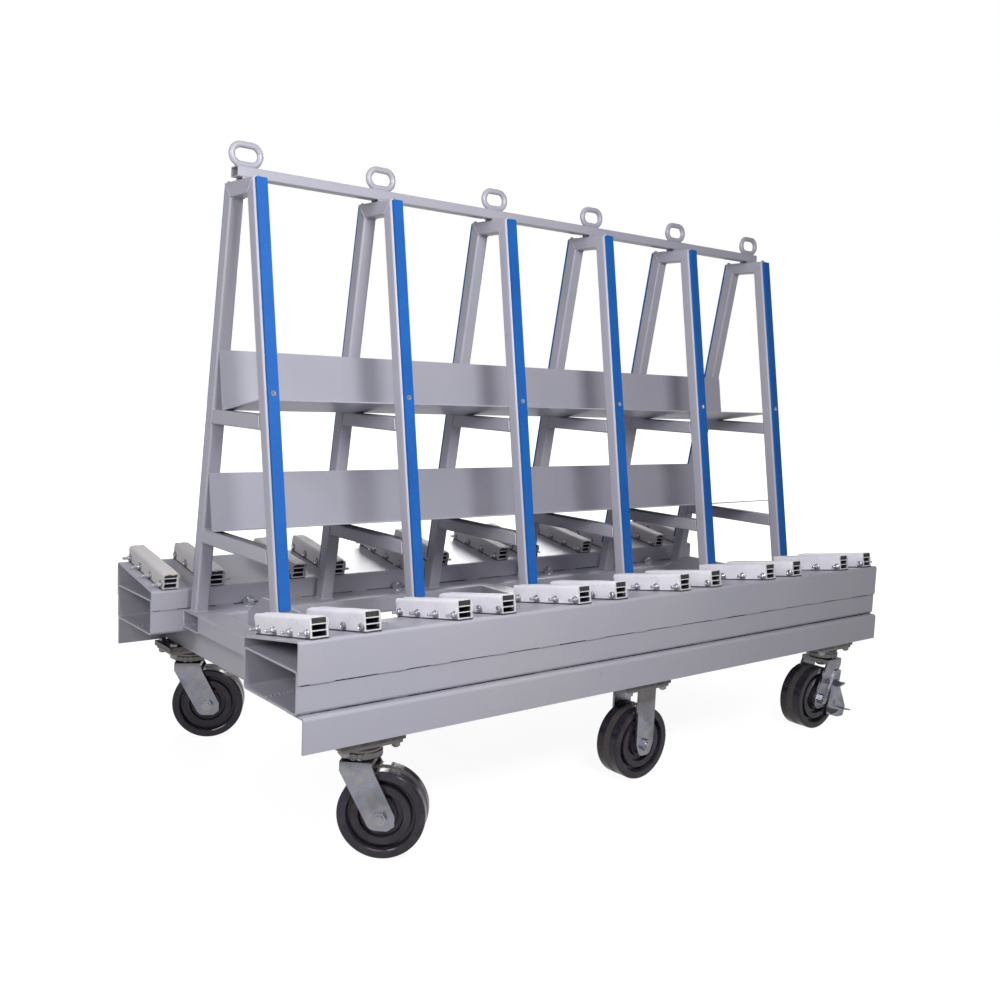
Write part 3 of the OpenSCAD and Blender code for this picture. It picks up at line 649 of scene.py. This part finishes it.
def outward(thing: Object, merge: float = 0.00001) -> None:
    """Merges points closer than a distance and points every face outwards."""
    only(thing)
    bpy.ops.object.mode_set(mode="EDIT")
    bpy.ops.mesh.select_all(action="SELECT")
    bpy.ops.mesh.remove_doubles(threshold=merge)
    bpy.ops.mesh.normals_make_consistent(inside=False)
    bpy.ops.object.mode_set(mode="OBJECT")


def dress(thing: Object, material: Material) -> None:
    """Gives an object one material, on every slot it has."""
    if not thing.material_slots:
        thing.data.materials.append(material)
    for index in range(len(thing.data.materials)):
        thing.data.materials[index] = material


# Pieces


@dataclass
class PadBar:
    """Where one pad bar lies on a deck."""

    x: float
    side: Side
    nut_side: int
    width: float = 0.0453
    height: float = 0.048
    length: float = 0.254
    tail: float = 0.006
    plate: float = 0.003
    middle: float = 0.408
    foot: float = 0.50295

    def place(self) -> Matrix:
        """Returns the bar's own frame: X across it, Y along it outwards, Z off the deck."""
        turn = Matrix.Rotation(LEAN * self.side.value, 4, "X")
        flip = Matrix.Identity(4) if self.side is Side.REAR else Matrix.Rotation(pi, 4, "Z")
        return Matrix.Translation((self.x, self.side.value * self.middle, self.foot)) @ turn @ flip


@dataclass
class PadBars:
    """The belts and through bolts of the 24 pad bars."""

    offset: float = 0.0664
    belt: float = 0.0025
    corner: float = 0.007
    corner_steps: int = 5
    step: float = 0.0035
    rows: int = 60
    bolt_at: Tuple[float, ...] = (-0.115, -0.038, 0.038, 0.115)
    bolt_height: float = 0.0135
    bars: List[PadBar] = field(default_factory=list)

    def __post_init__(self) -> None:
        """Lists the bars, nuts outwards in each pair."""
        for side in Side:
            for x in FRAME_XS:
                for nut_side in (-1, 1):
                    self.bars.append(PadBar(x + nut_side * self.offset, side, nut_side))

    def _path(self, bar: PadBar) -> List[Tuple[float, ...]]:
        """Walks round the outside of a belt from one foot to the other.

        Args:
            bar: The bar.

        Returns:
            For each point: across, up, and the outward direction's two parts.
        """
        half, top, r = bar.width / 2, bar.height, self.corner
        points: List[Tuple[float, ...]] = []
        rise = top - r - bar.plate
        count = max(2, round(rise / self.step))
        for i in range(count):
            points.append((-half, bar.plate + rise * i / count, -1.0, 0.0))
        for i in range(self.corner_steps + 1):
            turn = pi - pi / 2 * i / self.corner_steps
            nx, nz = cos(turn), sin(turn)
            points.append((-half + r + r * nx, top - r + r * nz, nx, nz))
        span = 2 * (half - r)
        count = max(2, round(span / self.step))
        for i in range(1, count):
            points.append((-half + r + span * i / count, top, 0.0, 1.0))
        points += [(-x, z, -nx, nz) for x, z, nx, nz in reversed(points[: -(count - 1)])]
        return points

    def belts(self, finish: Material) -> List[Object]:
        """Wraps a belt over every bar, pinched in at its bolts."""
        return [self._belt(number, bar, finish) for number, bar in enumerate(self.bars, 1)]

    def _belt(self, number: int, bar: PadBar, finish: Material) -> Object:
        """Makes one belt as a wrapped grid with a wall.

        Args:
            number: Its number, which also seeds its creases.
            bar: The bar that it covers.
            finish: Its material.

        Returns:
            The belt.
        """
        path = self._path(bar)
        belt = grid(len(path) - 1, self.rows)
        belt.name = f"pad_belt_{number:02d}"
        girth = [0.0]
        for a, b in zip(path, path[1:]):
            girth.append(girth[-1] + dist(a[:2], b[:2]))
        flat = belt.data.uv_layers[0].data
        for loop in belt.data.loops:
            co = belt.data.vertices[loop.vertex_index].co
            column = round((co.x + 0.5) * (len(path) - 1))
            flat[loop.index].uv = (girth[column], (co.y + 0.5) * (bar.length + bar.tail))
        for vertex in belt.data.vertices:
            x, z, nx, nz = path[round((vertex.co.x + 0.5) * (len(path) - 1))]
            along = (vertex.co.y + 0.5) * (bar.length + bar.tail) - bar.length / 2 - bar.tail
            sink = self._sink(number, bar, (x, along, z), abs(nx) > 0.9)
            vertex.co = Vector((x - nx * sink, along, z - nz * sink))
        modify(belt, "SOLIDIFY", thickness=self.belt, offset=-1.0)
        belt.data.transform(bar.place())
        outward(belt, 0.000001)
        smooth(belt, 45.0)
        dress(belt, finish)
        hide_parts("pad_covers")
        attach(belt, "frame")
        return belt

    def _sink(self, seed: int, bar: PadBar, at: Triple, on_side: bool) -> float:
        """How far the belt's face lies under its flat place.

        Args:
            seed: The belt's number.
            bar: The bar.
            at: The place across the bar, along it and up from the deck.
            on_side: True on the upright faces.

        Returns:
            The depth in metres.
        """
        x, along, z = at
        wave = sin(along * 52 + seed * 2.3 + x * 60) * sin(z * 110 + seed)
        depth = 0.00045 * (1 + wave)
        if on_side:
            rise = (z - bar.plate) / (bar.height - bar.plate)
            depth -= 0.0013 * sin(pi * min(1.0, max(0.0, rise)))
            for bolt in self.bolt_at:
                away = hypot(along - bolt, (z - self.bolt_height) * 0.9)
                round_bolt = atan2(z - self.bolt_height, along - bolt)
                crease = 0.5 + 0.5 * cos(round_bolt * 5 + seed * 1.7 + bolt * 90)
                depth += 0.0016 * exp(-((away / 0.010) ** 2))
                depth += 0.0008 * crease * exp(-((away / 0.018) ** 2))
        ends = max(0.0, abs(along) - bar.length / 2 + 0.006) / 0.006
        return depth + 0.0006 * ends * (1 + sin(z * 210 + x * 260 + seed * 3.1))

    def _bolt(self) -> Object:
        """Models a through bolt: washer, nut and stud at +X, pan head at -X.

        Returns:
            The bolt, lying along X.
        """
        face = self.bars[0].width / 2
        turn = (0.0, pi / 2, 0.0)
        washer = round_bar(0.0090, 0.0016, (face + 0.0004, 0, 0), 18, turn)
        bevel(washer, 0.0005, 60)
        nut = round_bar(0.0074, 0.0064, (face + 0.0044, 0, 0), 6, turn)
        bevel(nut, 0.0008)
        stud = round_bar(0.0040, 0.028, (face + 0.0082, 0, 0), 12, turn)
        bevel(stud, 0.0007, 60)
        cap = round_bar(0.0080, 0.0044, (-face - 0.0016, 0, 0), 16, turn)
        settle(cap)
        steps = ((0.0022, 0.0012), (0.0014, -0.0014))
        recess(cap, lambda side: side.normal.x < -0.9, steps)
        return join("pad_bolt", [washer, nut, stud, cap])

    def bolts(self, finish: Material) -> List[Object]:
        """Puts four bolts through every bar, joined for each deck.

        Args:
            finish: The bolts' material.

        Returns:
            Two pieces, front and rear.
        """
        pattern = self._bolt()
        made = []
        for side in Side:
            copies = []
            for bar in (b for b in self.bars if b.side is side):
                flip = bar.nut_side * side.value < 0
                for index, along in enumerate(self.bolt_at):
                    turn = Matrix.Rotation(pi if flip else 0.0, 4, "Z")
                    roll = Matrix.Rotation(0.6 * index + bar.x * 7, 4, "X")
                    spot = Matrix.Translation((0.0, along, self.bolt_height))
                    copies.append(copy(pattern, bar.place() @ spot @ turn @ roll))
            bolts = join(f"pad_bolts_{side.name.lower()}", copies)
            smooth(bolts)
            dress(bolts, finish)
            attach(bolts, "frame")
            made.append(bolts)
        drop(pattern)
        return made


@dataclass
class LegStrips:
    """The countersunk screws of the blue strips."""

    thickness: float = 0.008
    screw_z: float = 1.030
    sink: float = 0.0008

    def screws(self, finish: Material) -> Object:
        """Sets one cross-recessed screw in each strip.

        Args:
            finish: The screws' material.

        Returns:
            The joined screws.
        """
        head = round_bar(0.0066, 0.0016, (0, 0, -0.0008), 20)
        steps = ((0.0034, -0.0002), (0.0006, -0.0012))
        recess(head, lambda side: side.normal.z > 0.9, steps)
        shank = round_bar(0.0030, 0.010, (0, 0, -0.0064), 12)
        pattern = join("strip_screw", [head, shank])
        down = (APEX_Z - self.screw_z) / cos(LEAN)
        copies = []
        for side in Side:
            sign = side.value
            lean = Matrix.Rotation(LEAN * sign, 4, "X")
            spot = Matrix.Translation((0, sign * (self.thickness - self.sink), -down))
            turn = Matrix.Rotation(-sign * pi / 2, 4, "X")
            for x in FRAME_XS:
                face = Matrix.Translation((x, sign * APEX_HALF, APEX_Z))
                copies.append(copy(pattern, face @ lean @ spot @ turn))
        drop(pattern)
        screws = join("strip_screws", copies)
        smooth(screws)
        dress(screws, finish)
        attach(screws, "frame")
        return screws


@dataclass
class Welds:
    """The weld beads of the steelwork, each a rippled half round."""

    chassis_top: float = 0.4263
    bar_tops: Tuple[float, ...] = (0.979, 0.659)
    rail_top: float = 1.5717
    spacer_z: float = 1.5446
    cap_faces: Pair = (0.5332, 0.2832)
    cap_z: float = 0.4288
    cap_end: float = 1.072
    plate_y: float = 0.1814
    tube_faces: Tuple[Triple, ...] = (
        (0.9173, 0.384, 0.418), (0.0381, 0.384, 0.418), (0.847, 0.362, 0.420)
    )
    ripple: float = 0.0026
    most_rows: int = 90
    runs: List[Object] = field(default_factory=list)

    def leg_out(self, z: float) -> float:
        """Returns how far out a leg's outer face lies at a height."""
        return APEX_HALF + tan(LEAN) * (APEX_Z - z)

    def leg_in(self, z: float) -> float:
        """Returns how far out a leg's inner face lies at a height."""
        return self.leg_out(z) - TUBE / cos(LEAN)

    def add(self, start: Triple, end: Triple, out: Triple, radius: float = 0.003) -> None:
        """Wraps a grid into one rippled bead with drawn-in ends, in the corner of two faces.

        Args:
            start: One end of the run.
            end: Its other end.
            out: The direction away from the corner.
            radius: The bead's radius.
        """
        seed = len(self.runs) * 1.37
        length = (Vector(end) - Vector(start)).length
        rows = min(self.most_rows, max(6, round(length / (self.ripple / 2.5))))
        thing = grid(6, rows)
        along = (Vector(end) - Vector(start)).normalized()
        away = Vector(out).normalized()
        side = along.cross(away)
        for vertex in thing.data.vertices:
            turn = pi * 1.16 * vertex.co.x
            run = vertex.co.y + 0.5
            place = run * length
            wave = sin(2 * pi * place / self.ripple - 1.1 * cos(turn))
            drift = sin(place * 61 + seed) * sin(place * 23 + 2 * seed)
            taper = min(1.0, min(run, 1 - run) * length / (0.9 * radius)) ** 0.5
            size = radius * (1 + 0.07 * wave + 0.16 * drift) * (0.35 + 0.65 * taper)
            point = Vector(start) + along * place + away * (cos(turn) * size)
            vertex.co = point + side * (sin(turn) * size)
        self.runs.append(thing)

    def level(self, start: float, end: float, at: Pair, out: Triple, radius: float = 0.003) -> None:
        """Adds a run along X, at a Y and Z."""
        self.add((start, *at), (end, *at), out, radius)

    def upright(self, at: Pair, low: float, high: float, out: Triple,
                radius: float = 0.003) -> None:
        """Adds a run along Z, at an X and Y."""
        self.add((*at, low), (*at, high), out, radius)

    def _leg(self, x: float, y: int) -> None:
        """Lays the runs at a leg's foot and at its mitre with the top tube."""
        half, low = TUBE / 2, APEX_Z - TUBE
        inside = APEX_HALF + tan(LEAN) * TUBE - TUBE / cos(LEAN)
        top = self.chassis_top + 0.001
        outer, inner = (reach(self.chassis_top) * y for reach in (self.leg_out, self.leg_in))
        for face in (-1, 1):
            flank = x + face * half
            self.add((flank, inner, top), (flank, outer, top), (face, 0, 1))
            self.add((flank, y * APEX_HALF * 0.985, APEX_Z - 0.002), (flank, y * inside, low),
                     (face, 0, 0), 0.0018)
        self.level(x - half, x + half, (inner, top), (0, -y, 1))
        self.level(x - half + 0.003, x + half - 0.003, (y * inside, low), (0, -y, -1), 0.0036)
        self.level(x - half + 0.005, x + half - 0.005,
                   (y * (APEX_HALF + 0.001), APEX_Z - 0.0025), (0, y, 1), 0.0016)
        self.level(x - 0.014, x - 0.002, (y * (APEX_HALF - 0.003), APEX_Z), (0, 0, 1), 0.0048)

    def frames(self) -> None:
        """Lays the runs on the A-frames: feet, mitres and crossbars."""
        half = TUBE / 2
        for x in FRAME_XS:
            for y in (-1, 1):
                self._leg(x, y)
                for bar in self.bar_tops:
                    meet, under = self.leg_in(bar) * y, self.leg_in(bar - TUBE) * y
                    self.level(x - half + 0.004, x + half - 0.004, (meet, bar), (0, -y, 1), 0.0028)
                    for face in (-1, 1):
                        flank = x + face * half
                        self.add((flank, meet, bar - 0.003), (flank, under, bar - TUBE + 0.003),
                                 (face, -y * 0.4, 0), 0.0024)

    def rail(self) -> None:
        """Lays the runs beside the lifting eyes and under the rail."""
        for x in FRAME_XS:
            for y in (-1, 1):
                self.level(x - 0.028, x + 0.028, (y * 0.0046, self.rail_top), (0, y, 1), 0.0034)
                self.level(x - 0.017, x + 0.017, (y * 0.0165, self.spacer_z), (0, y, 0), 0.0026)

    def decks(self) -> None:
        """Lays the stitched seams of the caps and the seams in the deck tubes."""
        outer, inner = self.cap_faces
        for y in (-1, 1):
            for number in range(14):
                x = -1.055 + number * 0.1615 + 0.012 * sin(number * 2.4)
                stretch = 0.062 + 0.016 * sin(number * 1.7)
                self.level(x, min(x + stretch, self.cap_end), (y * outer, self.cap_z),
                           (0, y, -1), 0.0034)
            for number in range(15):
                x = -1.06 + number * 0.147 + 0.012 * sin(number * 1.9)
                self.level(x, x + 0.05, (y * inner, self.cap_z), (0, -y, -1))
            for end in (-1, 1):
                self.upright((end * 0.9925, y * 0.2812), 0.384, 0.419, (end, -y, 0), 0.0036)
                for number in range(8):
                    reach, drift = 1.082 - number * 0.0115, y * (0.386 - number * 0.0016)
                    self.level(end * reach, end * (reach - 0.0085), (drift, 0.3662),
                               (0, 0, 1), 0.0024)

    def chassis(self) -> None:
        """Lays the runs between the longitudinals, plates and cross tubes."""
        for y in (-1, 1):
            for reach, low, high in self.tube_faces:
                for end in (-1, 1):
                    self.upright((end * reach, y * self.plate_y), low, high, (-end, -y, 0))
            for number in range(9):
                x = -0.9 + number * 0.22 + 0.01 * sin(number * 3.1)
                self.level(x, x + 0.05, (y * 0.2785, 0.4258), (0, 0, 1))

    def build(self, finish: Material) -> List[Object]:
        """Builds every run, joined by where it lies.

        Args:
            finish: The paint that covers the welds.

        Returns:
            One piece for each part of the steelwork.
        """
        made = []
        for name, fill in (("frame", self.frames), ("rail", self.rail), ("deck", self.decks),
                           ("chassis", self.chassis)):
            self.runs = []
            fill()
            piece = join(f"{name}_welds", self.runs)
            outward(piece)
            smooth(piece, 60.0)
            dress(piece, finish)
            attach(piece, "frame")
            LOG.info("%s: %d runs", piece.name, len(self.runs))
            made.append(piece)
        return made


@dataclass
class CapSeamShadows:
    """The dark gaps under the caps' flanges, which are ragged, dirt-filled and darkened as painted
    shadow, and the strips of painted shadow over the side angles.
    """

    length: float = 2.152
    flange_z: float = 0.4291
    faces: Tuple[Tuple[float, int], ...] = ((0.533, 1), (0.283, -1))
    heel_y: float = 0.5303
    heel_z: float = 0.3643
    heel_depth: float = 0.0032
    lift: float = 0.0004
    wall: float = 0.0003
    columns: int = 430

    @staticmethod
    def _depth(seed: float, x: float) -> float:
        """Returns how far a ragged gap reaches down, with small steps along the cart."""
        step = (x * 23 + seed) // 1 * 12.9898
        jag = sin(step * 43.7585) ** 2
        wave = 0.5 + 0.5 * sin(x * 31 + seed * 4) * sin(x * 13 + seed)
        return 0.0022 + 0.0009 * wave + 0.0013 * jag

    def _seam(self, y: float, out: float, top: float, depth: Callable[[float], float]) -> Object:
        """Shapes one seam from a grid and gives it a wall.

        Args:
            y: The face that it lies on.
            out: The direction away from that face, as a sign.
            top: The height of its upper edge.
            depth: How far it reaches down at each place along the cart.

        Returns:
            The seam.
        """
        seam = grid(self.columns, 1)
        for vertex in seam.data.vertices:
            x = vertex.co.x * self.length
            fall = depth(x) if vertex.co.y < 0 else 0.0
            vertex.co = Vector((x, y + out * self.lift, top - fall))
        modify(seam, "SOLIDIFY", thickness=self.wall)
        return seam

    def build(self, finish: Material) -> Object:
        """Lays the six seams, joined.

        Args:
            finish: The dirt and painted shadow in the gaps.

        Returns:
            The joined seams.
        """
        made = []
        for y in (-1, 1):
            for face, out in self.faces:
                ragged = partial(self._depth, 2.7 * len(made))
                made.append(self._seam(y * face, y * out, self.flange_z, ragged))
            # Painted shadow: a dark strip set in the crevice between each deck tube and its side
            # angle
            made.append(self._seam(y * self.heel_y, y, self.heel_z, lambda x: self.heel_depth))
        seams = join("cap_seam_shadows", made)
        outward(seams, 0.000001)
        dress(seams, finish)
        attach(seams, "frame")
        return seams


@dataclass
class CrownLips:
    """The raised, round-bottomed lips forged on the swivels' crowns."""

    radius: float = 0.0497
    top: float = 0.2435
    drop: float = 0.0125
    half_angle: float = 7.2
    bar: float = 0.0021
    turns: Tuple[float, ...] = (-9.0, 9.0, 81.0, 99.0, 171.0, 189.0, 261.0, 279.0)

    def _lip(self, turn: float) -> Object:
        """Bends one U-shaped bead round the crown.

        Args:
            turn: Its direction round the kingpin, in degrees.

        Returns:
            The lip, about the Z axis.
        """
        lip = grid(7, 30)
        rise = self.drop * 0.45
        bend = radians(self.half_angle) * self.radius
        for vertex in lip.data.vertices:
            run = vertex.co.y * 2
            if abs(run) > 0.5:
                across = copysign(bend, run)
                z = self.top - (1 - abs(run)) * 2 * rise
                tangent = (0.0, 1.0 if run > 0 else -1.0)
            else:
                a = run * pi
                across = bend * sin(a)
                z = self.top - rise - (self.drop - rise) * cos(a)
                tangent = (cos(a) * bend, sin(a) * (self.drop - rise))
                size = hypot(*tangent)
                tangent = (tangent[0] / size, tangent[1] / size)
            swing = vertex.co.x * pi * 1.1
            side = sin(swing) * self.bar
            out = self.radius - 0.0004 + cos(swing) * self.bar
            across += side * tangent[1]
            z -= side * tangent[0]
            angle = radians(turn) + across / self.radius
            vertex.co = Vector((out * cos(angle), out * sin(angle), z))
        return lip

    def build(self, casters: Casters, finish: Material) -> List[Object]:
        """Puts eight lips on each swivel's crown.

        Args:
            casters: Each caster's place and direction.
            finish: The forks' zinc.

        Returns:
            One piece for each swivel.
        """
        pattern = join("crown_lips", [self._lip(turn) for turn in self.turns])
        made = []
        for name, (x, y, angle) in casters.items():
            if angle is None:
                continue
            place = Matrix.Translation((x, y, 0)) @ Matrix.Rotation(radians(angle), 4, "Z")
            lips = copy(pattern, place)
            lips.name = f"{name}_crown_lips"
            outward(lips)
            smooth(lips, 60.0)
            dress(lips, finish)
            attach(lips, f"{name}_swivel")
            made.append(lips)
        drop(pattern)
        return made


# Scene


@dataclass
class Studio:
    """Floor, light and the camera at the photograph's place."""

    position: Triple = (-2.14454, -2.48105, 1.07753)
    yaw: float = 39.17
    pitch: float = 6.23
    roll: float = 2.52
    lens: float = 38.405

    def camera(self) -> None:
        """Puts the camera at the photograph's place."""
        yaw, pitch, roll = (radians(a) for a in (self.yaw, self.pitch, self.roll))
        level = cos(pitch)
        ahead = Vector((sin(yaw) * level, cos(yaw) * level, -sin(pitch)))
        right = Vector((cos(yaw), -sin(yaw), 0.0))
        up = right.cross(ahead)
        across = right * cos(roll) + up * sin(roll)
        above = up * cos(roll) - right * sin(roll)
        data = bpy.data.cameras.new("camera")
        data.lens = self.lens
        data.sensor_width = 36.0
        data.clip_end = 100.0
        camera = bpy.data.objects.new("camera", data)
        bpy.context.collection.objects.link(camera)
        turn = Matrix((across, above, -ahead)).transposed().to_4x4()
        camera.matrix_world = Matrix.Translation(self.position) @ turn
        bpy.context.scene.camera = camera

    @staticmethod
    def seen(s: Shader, glossy: float) -> Reading:
        """Returns 1 to the camera, and a share to mirror-like reflections."""
        path = s.add("LightPath", {}, {})
        camera, mirror = (Reading(s, path.outputs[f"Is {ray} Ray"]) for ray in ("Camera", "Glossy"))
        return camera.greater(mirror * glossy)

    def floor(self) -> None:
        """Lays the pale floor, which shows white to the camera under its shadow."""
        clear()
        bpy.ops.mesh.primitive_plane_add(size=60.0, location=(0, 0, -0.0005))
        floor = bpy.context.object
        floor.name = "studio_floor"
        s = Shader("studio_floor")
        matt = s.add("BsdfDiffuse", {}, {"Color": (0.44, 0.44, 0.44)})
        glow = s.add("Emission", {}, {"Color": (1.0, 1.0, 1.0), "Strength": 1.45})
        seen = self.seen(s, 0.6)
        share = s.vector("LENGTH", s.place, output="Value").ramp(1.8, 4.5) * 0.20 + 0.64
        values = {0: seen * share, 1: matt.outputs[0], 2: glow.outputs[0]}
        floor.data.materials.append(s.close(s.add("MixShader", {}, values)))

    def lamp(self, name: str, at: Triple, target: Triple, size: float, power: float) -> None:
        """Adds a square softbox.

        Args:
            name: Its name.
            at: Its place.
            target: The point that it faces.
            size: Its side.
            power: Its power in watts.
        """
        data = bpy.data.lights.new(name, "AREA")
        data.shape = "SQUARE"
        data.size = size
        data.energy = power
        lamp = bpy.data.objects.new(name, data)
        lamp.location = at
        lamp.rotation_mode = "QUATERNION"
        lamp.rotation_quaternion = (Vector(target) - Vector(at)).to_track_quat("-Z", "Y")
        bpy.context.collection.objects.link(lamp)

    def light(self) -> None:
        """Hangs the softboxes and sets the even world light."""
        self.lamp("key", (-1.0, -2.2, 1.95), (-0.6, 0, 1.25), 0.7, 48)
        self.lamp("front", (-2.6, -2.3, 1.7), (-0.8, -0.1, 0.9), 1.2, 15)
        self.lamp("left", (-3.6, -0.9, 2.2), (-0.6, 0, 1.2), 1.4, 50)
        self.lamp("top", (-0.4, 0.3, 4.4), (-0.2, 0, 0.6), 3.4, 13)
        self.lamp("back", (2.6, 3.4, 2.4), (0.2, 0.2, 0.6), 2.0, 115)
        s = Shader("studio_world", world=True)
        values = {"Color": (1.0, 1.0, 1.0), "Strength": self.seen(s, 0.28) * 0.86 + 0.14}
        bpy.context.scene.world = s.close(s.add("Background", {}, values))


class Cart:
    """The whole cart: finishes on the CAD nodes, then the pieces of the scene."""

    CASTERS: Casters = {
        "front_left": (-0.890, -0.480, -42.5),
        "rear_left": (-0.890, 0.480, -30.0),
        "front_right": (0.890, -0.480, 179.0),
        "rear_right": (0.890, 0.480, 135.7),
        "front_middle": (0.0, -0.480, None),
        "rear_middle": (0.0, 0.480, None),
    }
    TRAIL = 0.0565

    def __init__(self, frame: Dict) -> None:
        self.frame = frame
        kinds = {
            "paint": GreyPaint(),
            "bolt_zinc": ZincPlate("bolt_zinc", (0.66, 0.67, 0.73), 0.17, 0.12),
            "caster_zinc": ZincPlate("caster_zinc", (0.300, 0.302, 0.350), 0.25, 0.38, 0.80),
            "axle": ZincPlate("axle_zinc", (0.36, 0.355, 0.385), 0.22, 0.45, 0.30),
            "scale": TurnedSteel("mill_scale", (0.115, 0.104, 0.100), (0.050, 0.044, 0.042)),
            "blue_strip": BluePlastic(),
            "pad_base": BlackRubber("pad_base_rubber", (0.035, 0.034, 0.036)),
            "pad_alloy": MillAlloy(),
            "pad_rubber": BlackRubber(),
            "pad_cover": WhiteBelt(),
            "bush_steel": TurnedSteel(),
        }
        self.finishes = {key: kind.material() for key, kind in kinds.items()}

    def dress_nodes(self) -> None:
        """Gives every CAD node its finish."""
        slots = {s["node"]: s["material_slot"] for s in self.frame["record"]["subparts"]}
        for name, thing in self.frame["nodes"].items():
            if name.endswith("_wheel"):
                finish = self.wheel_finish(name)
            elif name == "caster_pads":
                finish = self.finishes["scale"]
            elif name == "caster_bolts" or "_axle" in name:
                finish = self.finishes["axle"]
            else:
                finish = self.finishes[slots[name]]
            dress(thing, finish)
        LOG.info("dressed %d nodes", len(self.frame["nodes"]))

    def wheel_finish(self, name: str) -> Material:
        """Returns the resin of one wheel, centred on its axle."""
        x, y, angle = self.CASTERS[name[: -len("_wheel")]]
        reach = 0.0 if angle is None else self.TRAIL
        turn = radians(angle or 0.0)
        ahead, aside = cos(turn), sin(turn)
        centre = (x + reach * ahead, y + reach * aside, WHEEL_RADIUS)
        return ResinWheel(f"resin_{name}", centre, (-aside, ahead, 0.0)).material()

    def build(self) -> None:
        """Builds every piece in order."""
        self.dress_nodes()
        pads, bright = PadBars(), self.finishes["bolt_zinc"]
        LOG.info("%d belts", len(pads.belts(self.finishes["pad_cover"])))
        LOG.info("%d sets of pad bolts", len(pads.bolts(bright)))
        LOG.info("strip screws: %s", LegStrips().screws(bright).name)
        LOG.info("%d sets of welds", len(Welds().build(self.finishes["paint"])))
        LOG.info("cap seams: %s", CapSeamShadows().build(SeamDirtAndShadow().material()).name)
        lips = CrownLips().build(self.CASTERS, self.finishes["caster_zinc"])
        LOG.info("%d sets of crown lips", len(lips))


def main() -> None:
    """Builds the cart and its studio over the loaded frame."""
    logging.basicConfig(level=logging.INFO)
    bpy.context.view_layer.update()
    bpy.context.scene.view_settings.view_transform = "Standard"
    studio = Studio()
    studio.camera()
    studio.floor()
    studio.light()
    Cart(frame).build()
    clear()


if __name__ == "__main__":
    main()
